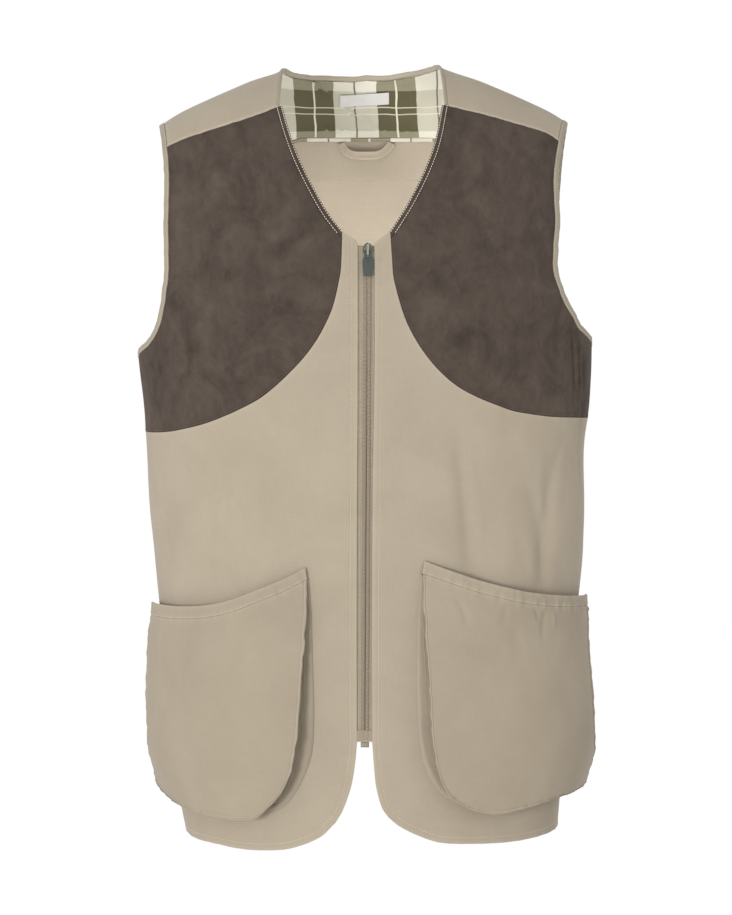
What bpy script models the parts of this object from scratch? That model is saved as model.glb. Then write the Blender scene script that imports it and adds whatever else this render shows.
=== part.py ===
"""Shooting vest, filled out as worn: tan cotton fronts and back, suede shoulder
patches, a one-piece yoke, a zip front and two bellows pockets.

The vest hangs in the hollow form of a general figure. Its front faces -Y, +X is
the left-hand side of the wearer and +Z is up. The origin is on the centre line,
at the height of the shoulder line beside the neck. Tables give sizes in
millimetres: "across" from the centre line and "height" from the shoulder line.
"""
import math
from typing import NamedTuple

import bpy
import bmesh
from mathutils import Matrix, Vector

MM = 0.001

# Driving sizes, in millimetres
COTTON = 1.2
SUEDE = 1.6
PLAID = 0.8
TAPE = 0.8
SEAM_GAP = 0.3
BINDING_WIDTH = 6.4
BINDING_THICKNESS = 2.6
NECK_BINDING_WIDTH = 5.4
NECK_BINDING_SETBACK = 1.6
NECK_BINDING_LEAN = 0.25
NECK_MIDDLE = (-5.0, 10.0, 30.0)
ARMHOLE_MIDDLE = (232.0, -180.0)
V_BAND_WIDTH = 5.6
V_BAND_THICKNESS = 2.2
ROLL_FRONT = 80.0
ROLL_BACK = 75.0
SQUARENESS = 2.4
QUARTER = math.pi / 2
GIRTH_SCALE = 210.0
TURN_STEP = 0.004
LEVEL_STEP = 0.8

# Numbers of cells along the shared seams and through the panels
YOKE_SEAM_CELLS = 7
SUEDE_SEAM_CELLS = 14
ARMHOLE_CELLS = 10
SIDE_CELLS = 12
BACK_CELLS = 18
SHOULDER_CELLS = 8
FRONT_COLUMNS = 13
CUTAWAY_CELLS = 7


class Section(NamedTuple):
    """A level of the body form: half widths to each side and depths to each face."""
    height: float
    left: float
    right: float
    front: float
    back: float


SECTIONS = (
    Section(40, 232, 230, 58, 98),
    Section(0, 232, 230, 64, 100),
    Section(-60, 232, 230, 80, 104),
    Section(-120, 232, 230, 98, 108),
    Section(-200, 232, 230, 115, 112),
    Section(-290, 234, 232, 124, 112),
    Section(-345, 228, 229.5, 124, 108),
    Section(-391, 225, 224, 122, 104),
    Section(-450, 221.5, 224, 120, 101),
    Section(-500, 216.5, 222.5, 118, 100),
    Section(-546, 212.5, 218, 117, 102),
    Section(-620, 205.5, 211, 117, 105),
    Section(-700, 197, 203, 116, 107),
    Section(-759, 189, 197.5, 114, 108),
    Section(-800, 180.5, 195, 112, 108),
)


class Ridge(NamedTuple):
    """Height of the shoulder line at a distance from the centre line."""
    across: float
    height: float


SHOULDER_LINE = (
    Ridge(0, 28), Ridge(40, 20.5), Ridge(60, 11.5), Ridge(80, 0.8), Ridge(116, -11.2), Ridge(142, -21.9),
    Ridge(166, -32.2), Ridge(188, -42.4), Ridge(203, -51.4), Ridge(232, -71),
)


FOLD_FADES = (70.0, 90.0)


class Fold(NamedTuple):
    """A soft upright fold: its place round the body, its ends, width and depth."""
    angle: float
    top: float
    bottom: float
    width: float
    depth: float
    lean: float


FOLDS = (
    Fold(24, -350, -560, 15, -3.0, 2),
    Fold(52, -370, -570, 13, -3.2, -2),
    Fold(36, -400, -600, 18, 2.0, 0),
    Fold(-38, -370, -570, 16, -3.2, -2),
    Fold(-24, -420, -600, 18, 1.8, 1),
    Fold(-66, -380, -540, 14, -2.4, 2),
    Fold(74, -300, -470, 9, -2.6, 3),
    Fold(-78, -300, -400, 8, -2.2, -2),
    Fold(148, -330, -660, 20, -4.0, 4),
    Fold(-146, -360, -680, 22, -4.5, -5),
    Fold(172, -300, -560, 24, 3.0, 3),
    Fold(-112, -330, -560, 14, -3.0, 4),
    Fold(114, -350, -600, 15, -3.0, -3),
)


class Spot(NamedTuple):
    """A point of an outline seen from the front or the back."""
    across: float
    height: float


class Over(NamedTuple):
    """A point of the yoke: across, and along the cloth back over the shoulder line."""
    across: float
    over: float


V_EDGE = {
    "left": (Spot(-85.3, -42), Spot(-76.1, -73.7), Spot(-66.6, -98.9), Spot(-52.6, -127.7),
             Spot(-38.7, -152.3), Spot(-24.1, -171.6)),
    "right": (Spot(77.2, -41.1), Spot(69.7, -79.2), Spot(58.5, -110.3), Spot(42.2, -143.1),
              Spot(32.6, -159.0), Spot(24.4, -171.6)),
}
V_BAND_END = {"left": Spot(-24.0, -178.8), "right": Spot(24.8, -178.8)}
ZIP_TOP = {"left": (Spot(-8.2, -184.4), Spot(-12.4, -179.8)),
           "right": (Spot(8.6, -184.4), Spot(12.6, -180.4))}
YOKE_SEAM = {
    "left": (Spot(-115.7, -53.3), Spot(-146.3, -62.6), Spot(-168, -69.4), Spot(-189.1, -76),
             Spot(-202.7, -82)),
    "right": (Spot(116.8, -50), Spot(149.6, -58.6), Spot(177.4, -66), Spot(188.8, -70.4),
              Spot(196, -75.9)),
}
ARMHOLE_FRONT = {
    "left": (Spot(-202.7, -82), Spot(-200.5, -101.3), Spot(-199.8, -125.3), Spot(-200.4, -155.9),
             Spot(-199.6, -204), Spot(-201, -225.3), Spot(-206.9, -259.6), Spot(-212.7, -273.6),
             Spot(-222, -285.9)),
    "right": (Spot(196, -75.9), Spot(190.9, -106.9), Spot(190.5, -131.1), Spot(191.8, -158),
              Spot(189.4, -189.9), Spot(189.6, -211.3), Spot(200.1, -241), Spot(209.1, -256.4),
              Spot(217.8, -270.3)),
}
ARMHOLE_BACK = {
    "left": (Spot(-222, -287), Spot(-213, -275), Spot(-206, -253), Spot(-202, -222), Spot(-201, -185),
             Spot(-202, -150), Spot(-205, -122)),
    "right": (Spot(218, -276), Spot(208, -262), Spot(200, -240), Spot(196, -212), Spot(194, -180),
              Spot(195, -148), Spot(198, -118)),
}
UNDERARM = {"left": -297.0, "right": -285.0}
SUEDE_SEAM = {
    "left": (Spot(-24.6, -199), Spot(-26.1, -217.1), Spot(-36, -255.4), Spot(-57, -292.4),
             Spot(-86.1, -323.4), Spot(-113.3, -343.9), Spot(-156, -362.8), Spot(-189.1, -371.2),
             Spot(-210, -373.4)),
    "right": (Spot(26.1, -199), Spot(28.5, -222.8), Spot(43, -268.4), Spot(68.1, -306.4),
              Spot(97.6, -331.4), Spot(141.7, -350.3), Spot(165.2, -355.2), Spot(191.2, -358)),
}
SUEDE_SIDE = {"left": -372.0, "right": -358.2}
ZIP_BENDS = (-300.0, -500.0)
ZIP_FOOT = {"left": Spot(-9.0, -685.0), "right": Spot(6.2, -685.0)}
CUTAWAY = {
    "left": (Spot(-11, -706.2), Spot(-15, -729.3), Spot(-23.1, -752.5), Spot(-30.4, -765.4)),
    "right": (Spot(7.8, -706.2), Spot(10.2, -729.3), Spot(16.0, -750.4), Spot(22.4, -760.0)),
}
HEM = {
    "left": (Spot(-30.4, -765.4), Spot(-46.5, -780.4), Spot(-75, -791.6), Spot(-102.6, -794.5),
             Spot(-126.1, -793.8), Spot(-148.7, -790.7), Spot(-174.2, -786.7)),
    "right": (Spot(22.4, -760.0), Spot(33.5, -769), Spot(52.8, -778.8), Spot(74.3, -785.8),
              Spot(103.6, -787.7), Spot(138.2, -787.6), Spot(164.6, -785.5), Spot(185.5, -781.7)),
}
HEM_SIDE = {"left": -781.5, "right": -777.5}
BACK_YOKE_SEAM = (Spot(-205, -122), Spot(-120, -110), Spot(0, -106), Spot(116, -108), Spot(198, -118))
BACK_HEM = (Spot(-150, -699), Spot(0, -692), Spot(150, -699))
BACK_HEM_SIDE = {"left": -706.0, "right": -704.0}

NECK_EDGE = (
    Over(-89.0, -40), Over(-87.6, 0), Over(-84.5, 13), Over(-76, 30), Over(-60, 49), Over(-40, 61.5),
    Over(-21, 67.5), Over(-4, 69.5), Over(14, 67.5), Over(32, 61.5), Over(51, 49), Over(66, 30),
    Over(74, 13), Over(76.3, 0), Over(79.5, -40),
)
SHOULDER_EDGE = {
    "left": (Over(-206.4, -30), Over(-207.8, 0), Over(-207.4, 40), Over(-206, 80)),
    "right": (Over(201, -30), Over(202.6, 0), Over(202.4, 40), Over(199.8, 78)),
}


class PocketRow(NamedTuple):
    """A point of a pocket's outline and how far its face stands off the front."""
    across: float
    height: float
    off: float


POCKET_MOUTH = {
    "left": (PocketRow(-60.5, -509, 3.4), PocketRow(-78, -518.6, 7), PocketRow(-108, -531.3, 10),
             PocketRow(-137.6, -542.2, 11), PocketRow(-162.2, -547.6, 11), PocketRow(-189.3, -549.3, 10),
             PocketRow(-209.9, -548.3, 8.5), PocketRow(-219, -547.2, 7)),
    "right": (PocketRow(58.7, -502.5, 3.4), PocketRow(83.1, -511.6, 7.5), PocketRow(113.3, -521.8, 10.5),
              PocketRow(143.7, -530.1, 11.5), PocketRow(163.6, -534.4, 11.5),
              PocketRow(194.3, -538.2, 10.5), PocketRow(215, -539.5, 9), PocketRow(227.9, -539.8, 8)),
}
POCKET_INNER = {
    "left": (PocketRow(-59, -521, 4.2), PocketRow(-60, -550, 9), PocketRow(-64, -585, 14),
             PocketRow(-67.9, -629, 18), PocketRow(-71.9, -679, 20), PocketRow(-77.9, -712.2, 20),
             PocketRow(-86, -732.4, 19.5), PocketRow(-94, -746, 19)),
    "right": (PocketRow(56.2, -515, 4.2), PocketRow(57.9, -545, 9), PocketRow(59.9, -578, 14),
              PocketRow(62.9, -619.6, 18), PocketRow(65.4, -664, 20), PocketRow(67.9, -689, 20),
              PocketRow(73.4, -718, 19.5), PocketRow(83, -737, 19)),
}
POCKET_BOTTOM = {
    "left": (PocketRow(-94, -746, 19), PocketRow(-109.6, -760.5, 19.5), PocketRow(-125.3, -762.8, 20),
             PocketRow(-147.7, -761.3, 20.5), PocketRow(-168.4, -757.4, 20.5),
             PocketRow(-185.2, -752.7, 20), PocketRow(-200, -744.5, 19)),
    "right": (PocketRow(83, -737, 19), PocketRow(101, -749.5, 19.5), PocketRow(117.1, -754.9, 20),
              PocketRow(133.3, -756.4, 21), PocketRow(153.7, -753.2, 21.5), PocketRow(173.3, -748.2, 21.5),
              PocketRow(194.4, -742.7, 21), PocketRow(209, -739.6, 20)),
}
POCKET_SIDE = {
    "left": (PocketRow(-222, -560.4, 9), PocketRow(-224, -592, 16), PocketRow(-226, -626, 22),
             PocketRow(-226.2, -657.3, 25), PocketRow(-225, -682, 25.5), PocketRow(-223, -702.7, 25),
             PocketRow(-217.5, -723.3, 22.5), PocketRow(-200, -744.5, 19)),
    "right": (PocketRow(229, -550.1, 9.5), PocketRow(229.6, -575, 15), PocketRow(231.4, -605, 20),
              PocketRow(235, -653.2, 28), PocketRow(236.4, -688.3, 32), PocketRow(236.6, -708.9, 30),
              PocketRow(230, -727.6, 25.5), PocketRow(209, -739.6, 20)),
}
POCKET_BASE = {
    "left": (Spot(-57.4, -520), Spot(-55.1, -550.8), Spot(-53.1, -611), Spot(-52.1, -660),
             Spot(-54.1, -694), Spot(-61.2, -717), Spot(-72.2, -737.6), Spot(-84, -750.5),
             Spot(-104, -758.5), Spot(-128, -759), Spot(-152, -755), Spot(-170, -746),
             Spot(-181, -732), Spot(-187, -712), Spot(-192, -690), Spot(-197, -655),
             Spot(-201.5, -620), Spot(-205, -590), Spot(-208.4, -562)),
    "right": (Spot(54.6, -514), Spot(53.1, -541), Spot(51.1, -591), Spot(51.1, -640),
              Spot(53.1, -680), Spot(58.1, -705.7), Spot(68.2, -727.4), Spot(83.3, -742.5),
              Spot(104, -750), Spot(128, -751), Spot(154, -747), Spot(174, -739),
              Spot(188, -726), Spot(194.5, -708), Spot(198.5, -688), Spot(203.5, -652),
              Spot(207.5, -616), Spot(211, -584), Spot(214.4, -553)),
}
POCKET_COLUMNS = 12
POCKET_ROWS = 9
GUSSET_TUCK = 7.0
GUSSET_TUCK_SHARE = 0.45
GUSSET_RIM_INSET = 1.2
GUSSET_BASE_LIFT = 2.0
GUSSET_TOP_DROP = 1.75
POCKET_BAND_THICKNESS = 2.0
POCKET_BAND_SWELL = 0.8
POCKET_DEEP = 18.0
POCKET_MIDDLE = (-650.0, 10.0)

FACING_LIFT = -1.3
FACING_ROWS = 4
FACING_TRIM = 4
FACING_HEM = -64.5
FACING_HEM_DROP = 1.1
FACING_REACH = (0.2, 0.9)
LABEL_LIFT = -3.1
LABEL_THICKNESS = 0.6
LABEL_CELLS = 4


class LabelEnd(NamedTuple):
    """One end of the label: its place across and the heights of its two edges."""
    across: float
    top: float
    foot: float


LABEL_ENDS = (LabelEnd(-28.0, -16.2, -28.3), LabelEnd(24.7, -13.0, -25.3))

ZIP_HEIGHTS = {"top": -186.0, "chain_top": -190.2, "chain_foot": -680.6, "foot": -684.0}
CHAIN_WIDTH = 6.4
CHAIN_THICKNESS = 2.2
ZIP_SLANT = (1.8, -1.1)
TAPE_REACH = 12.0
TAPE_SINK = -1.45
STRIP_CELLS = 16
BOX_HALF_WIDTH = 5.2
BOX_THICKNESS = 3.4
BOX_DROPS = (0.4, 5.6)

SLIDER_HEIGHT = -191.6


def interpolate(table, place, column):
    """Reads a smooth curve through one column of a table, whose first column is the place."""
    rows = sorted(table, key=lambda row: row[0])
    if place <= rows[0][0]:
        return rows[0][column]
    if place >= rows[-1][0]:
        return rows[-1][column]
    last = len(rows) - 1
    k = next(i for i in range(last) if rows[i][0] <= place <= rows[i + 1][0])

    def slope(i):
        before, after = rows[max(i - 1, 0)], rows[min(i + 1, last)]
        return (after[column] - before[column]) / (after[0] - before[0])

    step = rows[k + 1][0] - rows[k][0]
    t = (place - rows[k][0]) / step
    a, b = rows[k][column], rows[k + 1][column]
    curve = (2 * t ** 3 - 3 * t * t + 1) * a + (3 * t * t - 2 * t ** 3) * b
    bend = (t ** 3 - 2 * t * t + t) * slope(k) + (t ** 3 - t * t) * slope(k + 1)
    return curve + bend * step


def half_width(across_sign, height):
    """Gives the body form's half width on one side at a level."""
    return interpolate(SECTIONS, height, 1 if across_sign < 0 else 2)


def ridge_height(across):
    """Gives the height of the shoulder line over a point."""
    return interpolate(SHOULDER_LINE, abs(across), 1)


def smooth_step(value):
    """Rises smoothly from 0 to 1."""
    t = min(1.0, max(0.0, value))
    return t * t * (3 - 2 * t)


def fold_rise(angle, height):
    """Gives how far the folds push the cloth out at a point."""
    rise = 0.0
    turn = math.degrees(angle)
    for fold in FOLDS:
        centre = fold.angle + fold.lean * (2 * (fold.top - height) / (fold.top - fold.bottom) - 1)
        off = (turn - centre + 180) % 360 - 180
        aside = math.radians(off) * GIRTH_SCALE / fold.width
        if abs(aside) < 3 and fold.bottom < height < fold.top:
            fade_in = smooth_step((fold.top - height) / FOLD_FADES[0])
            fade_out = smooth_step((height - fold.bottom) / FOLD_FADES[1])
            rise += fold.depth * math.exp(-aside * aside) * fade_in * fade_out
    return rise


def body_point(angle, height, off=0.0):
    """Gives a point of the body form: angle 0 is the centre front, -90 degrees the left side."""
    sine, cosine = math.sin(angle), math.cos(angle)
    across = math.copysign(abs(sine) ** (2 / SQUARENESS), sine)
    forward = abs(cosine) ** (2 / SQUARENESS)
    is_front = cosine >= 0
    x = across * (half_width(sine, height) + off)
    depth = interpolate(SECTIONS, height, 3 if is_front else 4) + off
    roll = ROLL_FRONT if is_front else ROLL_BACK
    drop = max(0.0, ridge_height(x) - height)
    shorten = math.sqrt(1 - (1 - drop / roll) ** 2) if drop < roll else 1.0
    y = depth * forward * shorten
    rise = fold_rise(angle, height)
    return Vector((x + rise * sine, (-y if is_front else y) - rise * cosine, height))


def yoke_point(across, over):
    """Gives a point of the shoulders: over is negative in front of the shoulder line."""
    roll = ROLL_FRONT if over < 0 else ROLL_BACK
    travel = abs(over)
    turn = min(travel / roll, QUARTER)
    drop = roll * (1 - math.cos(turn)) + max(0.0, travel - roll * QUARTER)
    height = ridge_height(across) - drop
    depth = interpolate(SECTIONS, height, 3 if over < 0 else 4)
    sine = min(1.0, abs(across) / half_width(across, height)) ** (SQUARENESS / 2)
    forward = math.sqrt(max(0.0, 1 - sine * sine)) ** (2 / SQUARENESS)
    y = depth * forward * math.sin(turn)
    return Vector((across, -y if over < 0 else y, height))


def normal_at(surface, u, v, step_u, step_v):
    """Gives the outward normal of a surface by small steps each way."""
    along = surface(u + step_u, v) - surface(u - step_u, v)
    down = surface(u, v - step_v) - surface(u, v + step_v)
    return down.cross(along).normalized()


def body_site(angle, height, off=0.0):
    """Gives a point of the body form with its outward normal."""
    def surface(a, h):
        return body_point(a, h, off)
    return surface(angle, height), normal_at(surface, angle, height, TURN_STEP, LEVEL_STEP)


def yoke_site(across, over):
    """Gives a point of the yoke with its outward normal."""
    return yoke_point(across, over), normal_at(yoke_point, across, over, LEVEL_STEP, LEVEL_STEP)


def front_angle(across, height, off=0.0):
    """Gives the angle of a point of the front seen at a distance across."""
    share = min(1.0, abs(across) / (half_width(across, height) + off))
    return math.copysign(math.asin(share ** (SQUARENESS / 2)), across)


def back_angle(across, height):
    """Gives the angle of a point of the back, counted on from the left side."""
    return -math.pi - front_angle(across, height)


def front_spots(spots):
    """Turns front outline points into angles and heights."""
    return [(front_angle(spot.across, spot.height), spot.height) for spot in spots]


def back_spots(spots):
    """Turns back outline points into angles and heights."""
    return [(back_angle(spot.across, spot.height), spot.height) for spot in spots]


def over_of(spot, is_front):
    """Gives the yoke place of an outline point."""
    roll = ROLL_FRONT if is_front else ROLL_BACK
    drop = ridge_height(spot.across) - spot.height
    turned = min(drop, roll)
    over = roll * math.acos(1 - turned / roll) + (drop - turned)
    return spot.across, -over if is_front else over


def through(points, cells, scale=GIRTH_SCALE):
    """Samples a smooth curve through points, evenly by its chords; scale weighs the first value."""
    spans = [math.hypot((q[0] - p[0]) * scale, q[1] - p[1]) for p, q in zip(points, points[1:])]
    places = [0.0]
    for span in spans:
        places.append(places[-1] + span)
    columns = range(1, len(points[0]) + 1)
    table = [(place, *point) for place, point in zip(places, points)]
    steps = [places[-1] * k / cells for k in range(cells + 1)]
    return [tuple(interpolate(table, step, column) for column in columns) for step in steps]


def coons(top, bottom, first, last):
    """Fills four sampled sides with a grid of values, row by row from the top."""
    columns, rows = len(top) - 1, len(first) - 1
    size = len(top[0])
    grid = []
    for j in range(rows + 1):
        v = j / rows
        row = []
        for i in range(columns + 1):
            u = i / columns
            value = []
            for n in range(size):
                sides = (1 - v) * top[i][n] + v * bottom[i][n] + (1 - u) * first[j][n] + u * last[j][n]
                ends = (1 - v) * ((1 - u) * top[0][n] + u * top[-1][n])
                ends += v * ((1 - u) * bottom[0][n] + u * bottom[-1][n])
                value.append(sides - ends)
            row.append(tuple(value))
        grid.append(row)
    return grid


def sites(grid, place):
    """Places a grid of values on a surface."""
    return [[place(*value) for value in row] for row in grid]


def pull_in(line, inner, gap):
    """Moves a boundary line of sites in from the seam, in the cloth's own plane."""
    moved = []
    last = len(line) - 1
    for k, (point, normal) in enumerate(line):
        tangent = line[min(k + 1, last)][0] - line[max(k - 1, 0)][0]
        away = normal.cross(tangent).normalized()
        if away.dot(inner[k][0] - point) < 0:
            away = -away
        moved.append(away * gap)
    return moved


def trimmed(rows, top=True, bottom=True, first=True, last=True):
    """Takes half a seam's gap off the chosen sides of a grid of sites."""
    moves = [[Vector() for _ in row] for row in rows]
    half = SEAM_GAP / 2
    jobs = (
        (top, [(0, i) for i in range(len(rows[0]))], [(1, i) for i in range(len(rows[0]))]),
        (bottom, [(-1, i) for i in range(len(rows[0]))], [(-2, i) for i in range(len(rows[0]))]),
        (first, [(j, 0) for j in range(len(rows))], [(j, 1) for j in range(len(rows))]),
        (last, [(j, -1) for j in range(len(rows))], [(j, -2) for j in range(len(rows))]),
    )
    for wanted, border, inside in jobs:
        if not wanted:
            continue
        line = [rows[j][i] for j, i in border]
        inner = [rows[j][i] for j, i in inside]
        for (j, i), move in zip(border, pull_in(line, inner, half)):
            moves[j][i] += move
    return [[(site[0] + move, site[1]) for site, move in zip(row, shift)]
            for row, shift in zip(rows, moves)]


def finish(name, colour, roughness, metallic=0.0):
    """Makes a plain surface finish."""
    material = bpy.data.materials.new(name)
    material.use_nodes = True
    shader = material.node_tree.nodes["Principled BSDF"]
    linear = [((c / 255 + 0.055) / 1.055) ** 2.4 for c in colour]
    shader.inputs["Base Color"].default_value = (*linear, 1.0)
    shader.inputs["Roughness"].default_value = roughness
    shader.inputs["Metallic"].default_value = metallic
    return material


def solid(name, points, faces, material, smooth=True):
    """Makes one closed object from points in millimetres."""
    mesh = bpy.data.meshes.new(name)
    mesh.from_pydata([point * MM for point in points], [], faces)
    shaped = bmesh.new()
    shaped.from_mesh(mesh)
    bmesh.ops.recalc_face_normals(shaped, faces=shaped.faces)
    shaped.to_mesh(mesh)
    shaped.free()
    mesh.materials.append(material)
    if smooth:
        mesh.shade_smooth()
        mesh.set_sharp_from_angle(angle=math.radians(50))
    item = bpy.data.objects.new(name, mesh)
    bpy.context.scene.collection.objects.link(item)
    return item


def wall(name, rows, thickness, material, lift=0.0):
    """Makes a wall of cloth about a grid of sites, lifted along its normals."""
    height, width = len(rows), len(rows[0])
    outer = [p + n * (lift + thickness / 2) for row in rows for p, n in row]
    inner = [p + n * (lift - thickness / 2) for row in rows for p, n in row]
    count = height * width
    faces = []
    for j in range(height - 1):
        for i in range(width - 1):
            a, b = j * width + i, j * width + i + 1
            c, d = (j + 1) * width + i + 1, (j + 1) * width + i
            for face in ((a, b, c), (a, c, d)):
                faces.append(face)
                faces.append(tuple(corner + count for corner in reversed(face)))
    border = [i for i in range(width)]
    border += [j * width + width - 1 for j in range(1, height)]
    border += [(height - 1) * width + i for i in range(width - 2, -1, -1)]
    border += [j * width for j in range(height - 2, 0, -1)]
    for a, b in zip(border, border[1:] + border[:1]):
        faces.append((b, a, a + count, b + count))
    return solid(name, outer + inner, faces, material)


def piping(name, path, profile, material, closed, lean=0.0):
    """Sweeps a profile along a path of (point, normal, outward) places."""
    points = []
    for point, normal, outward in path:
        across = (outward + normal * lean).normalized()
        up = (normal - outward * lean).normalized()
        points += [point + across * d + up * h for d, h in profile]
    size, count = len(profile), len(path)
    faces = []
    for k in range(count if closed else count - 1):
        after = (k + 1) % count
        for i in range(size):
            j = (i + 1) % size
            faces.append((k * size + i, k * size + j, after * size + j, after * size + i))
    if not closed:
        faces.append(tuple(range(size)))
        faces.append(tuple((count - 1) * size + i for i in reversed(range(size))))
    return solid(name, points, faces, material)


def edge_path(line, centre, closed):
    """Adds to each site of an edge the direction in the cloth that leads off the panel."""
    path = []
    last = len(line) - 1
    for k, (point, normal) in enumerate(line):
        before = line[k - 1] if k or closed else line[0]
        after = line[(k + 1) % len(line)] if k < last or closed else line[last]
        outward = normal.cross(after[0] - before[0]).normalized()
        if outward.dot(centre - point) < 0:
            outward = -outward
        path.append((point, normal, outward))
    return path


def binding_profile(width, thickness):
    """Gives a folded tape's section: square at the seam and rounded at the outer fold."""
    near, half = SEAM_GAP / 2, thickness / 2
    return ((near, -half), (width - half * 0.6, -half), (width, -half * 0.35), (width, half * 0.35),
            (width - half * 0.6, half), (near, half))


def side_moved(spots, width):
    """Moves an outline sideways by a width, away from the centre line."""
    moved = []
    last = len(spots) - 1
    for k, spot in enumerate(spots):
        before, after = spots[max(k - 1, 0)], spots[min(k + 1, last)]
        along = Vector((after.across - before.across, after.height - before.height)).normalized()
        out = Vector((-along.y, along.x))
        if out.x * spot.across < 0:
            out = -out
        moved.append(Spot(spot.across + out.x * width, spot.height + out.y * width))
    return moved


def sign_of(side):
    """Gives -1 for the left of the front view and 1 for the right."""
    return -1 if side == "left" else 1


def side_spot(side, height):
    """Gives the side seam's angle with a height."""
    return sign_of(side) * QUARTER, height


def v_seam(side):
    """Samples the seam between the neck band and the suede, from the yoke down."""
    spots = side_moved(V_EDGE[side], V_BAND_WIDTH)[:-1] + [V_BAND_END[side]]
    return through(front_spots(spots), ARMHOLE_CELLS + 2)


def v_edge(side):
    """Samples the neck band's free edge."""
    return through(front_spots(V_EDGE[side]), ARMHOLE_CELLS + 2)


def yoke_seam(side):
    """Samples the front yoke seam, from the neck out."""
    start = side_moved(V_EDGE[side], V_BAND_WIDTH)[0]
    return through(front_spots((start, *YOKE_SEAM[side])), YOKE_SEAM_CELLS * 2)


def suede_seam(side):
    """Samples the seam under the suede, from the zip strip out to the side."""
    spots = front_spots((V_BAND_END[side], *SUEDE_SEAM[side]))
    return through(spots + [side_spot(side, SUEDE_SIDE[side])], SUEDE_SEAM_CELLS)


def armhole_front(side):
    """Samples the front armhole, from the yoke down to the side seam."""
    spots = front_spots(ARMHOLE_FRONT[side]) + [side_spot(side, UNDERARM[side])]
    return through(spots, ARMHOLE_CELLS)


def armhole_back(side):
    """Samples the back armhole, from the side seam up to the yoke."""
    turn = -QUARTER if side == "left" else -3 * QUARTER
    return through([(turn, UNDERARM[side])] + back_spots(ARMHOLE_BACK[side]), ARMHOLE_CELLS)


def straight(start, end, cells):
    """Samples a straight run between two values."""
    return [tuple(a + (b - a) * k / cells for a, b in zip(start, end)) for k in range(cells + 1)]


def build_suede(side, finishes):
    """Makes a suede patch and the stitched band on its neck edge."""
    armhole = armhole_front(side)
    lower = straight(armhole[-1], side_spot(side, SUEDE_SIDE[side]), 2)[1:]
    grid = sites(coons(yoke_seam(side), suede_seam(side), v_seam(side), armhole + lower), body_site)
    for i in range(1, len(grid[0]) - 1, 2):
        grid[0][i] = blend_sites(grid[0][i - 1], grid[0][i + 1], 0.5)
    wall("suede_" + side, trimmed(grid), SUEDE, finishes["suede"])
    edge, seam = v_edge(side), v_seam(side)
    band = [edge, [tuple((a + b) / 2 for a, b in zip(p, q)) for p, q in zip(edge, seam)], seam]
    rows = trimmed(sites(band, body_site), top=False)
    wall("neck_band_" + side, rows, V_BAND_THICKNESS, finishes["suede"])


def front_rows(side):
    """Gives the grid of a cotton front, columns from the zip out to the side."""
    bends = Spot(ZIP_TOP[side][0].across, ZIP_BENDS[0]), Spot(ZIP_FOOT[side].across, ZIP_BENDS[1])
    zip_edge = [ZIP_TOP[side][0], *bends, ZIP_FOOT[side]]
    side_run = straight(side_spot(side, SUEDE_SIDE[side]), side_spot(side, HEM_SIDE[side]), SIDE_CELLS)
    outer = front_spots([V_EDGE[side][-1]]) + suede_seam(side) + side_run[1:]
    straight_cells = len(outer) - 1 - CUTAWAY_CELLS
    inner = through(front_spots(zip_edge), straight_cells)
    inner += through(front_spots((ZIP_FOOT[side], *CUTAWAY[side])), CUTAWAY_CELLS)[1:]
    top = through(front_spots((*ZIP_TOP[side], V_EDGE[side][-1])), FRONT_COLUMNS)
    bottom = through(front_spots(HEM[side]) + [side_spot(side, HEM_SIDE[side])], FRONT_COLUMNS)
    return coons(top, bottom, inner, outer)


def build_front(side, finishes):
    """Makes a cotton front with its zip edge, cutaway and hem."""
    rows = trimmed(sites(front_rows(side), body_site), top=False, bottom=False, first=False)
    wall("front_" + side, rows, COTTON, finishes["cotton"])


def build_back(finishes):
    """Makes the back panel, under the yoke and between the side seams."""
    left, right = armhole_back("left"), armhole_back("right")
    left_side = straight((-QUARTER, BACK_HEM_SIDE["left"]), left[0], SIDE_CELLS)
    right_side = straight((-3 * QUARTER, BACK_HEM_SIDE["right"]), right[0], SIDE_CELLS)
    first = (left_side + left[1:])[::-1]
    last = (right_side + right[1:])[::-1]
    top = through(back_spots(BACK_YOKE_SEAM), BACK_CELLS)
    ends = [(-QUARTER, BACK_HEM_SIDE["left"]), *back_spots(BACK_HEM), (-3 * QUARTER, BACK_HEM_SIDE["right"])]
    bottom = through(ends, BACK_CELLS)
    rows = trimmed(sites(coons(top, bottom, first, last), body_site), bottom=False)
    wall("back_panel", rows, COTTON, finishes["cotton"])


def yoke_sides():
    """Samples the yoke's neck edge and outer edge, from the left front seam round to the right."""
    starts = {side: over_of(side_moved(V_EDGE[side], V_BAND_WIDTH)[0], True) for side in V_EDGE}
    ends = {side: over_of(YOKE_SEAM[side][-1], True) for side in V_EDGE}
    seam = [over_of(spot, False) for spot in BACK_YOKE_SEAM]
    left = through([ends["left"], *SHOULDER_EDGE["left"], seam[0]], SHOULDER_CELLS, 1.0)
    right = through([seam[-1], *SHOULDER_EDGE["right"][::-1], ends["right"]], SHOULDER_CELLS, 1.0)
    angles = through(back_spots(BACK_YOKE_SEAM), BACK_CELLS)
    across = [body_point(*angle)[0] for angle in angles]
    middle = [over_of(Spot(x, angle[1]), False) for x, angle in zip(across, angles)]
    outer = left + middle[1:] + right[1:]
    neck = list(NECK_EDGE)
    turn = (starts["left"], *neck[:2]), tuple(neck[1:-1]), (*neck[-2:], starts["right"])
    cells = SHOULDER_CELLS - 3, BACK_CELLS + 6, SHOULDER_CELLS - 3
    inner = []
    for part, count in zip(turn, cells):
        inner += through(part, count, 1.0)[1 if inner else 0:]
    return inner, outer


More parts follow.
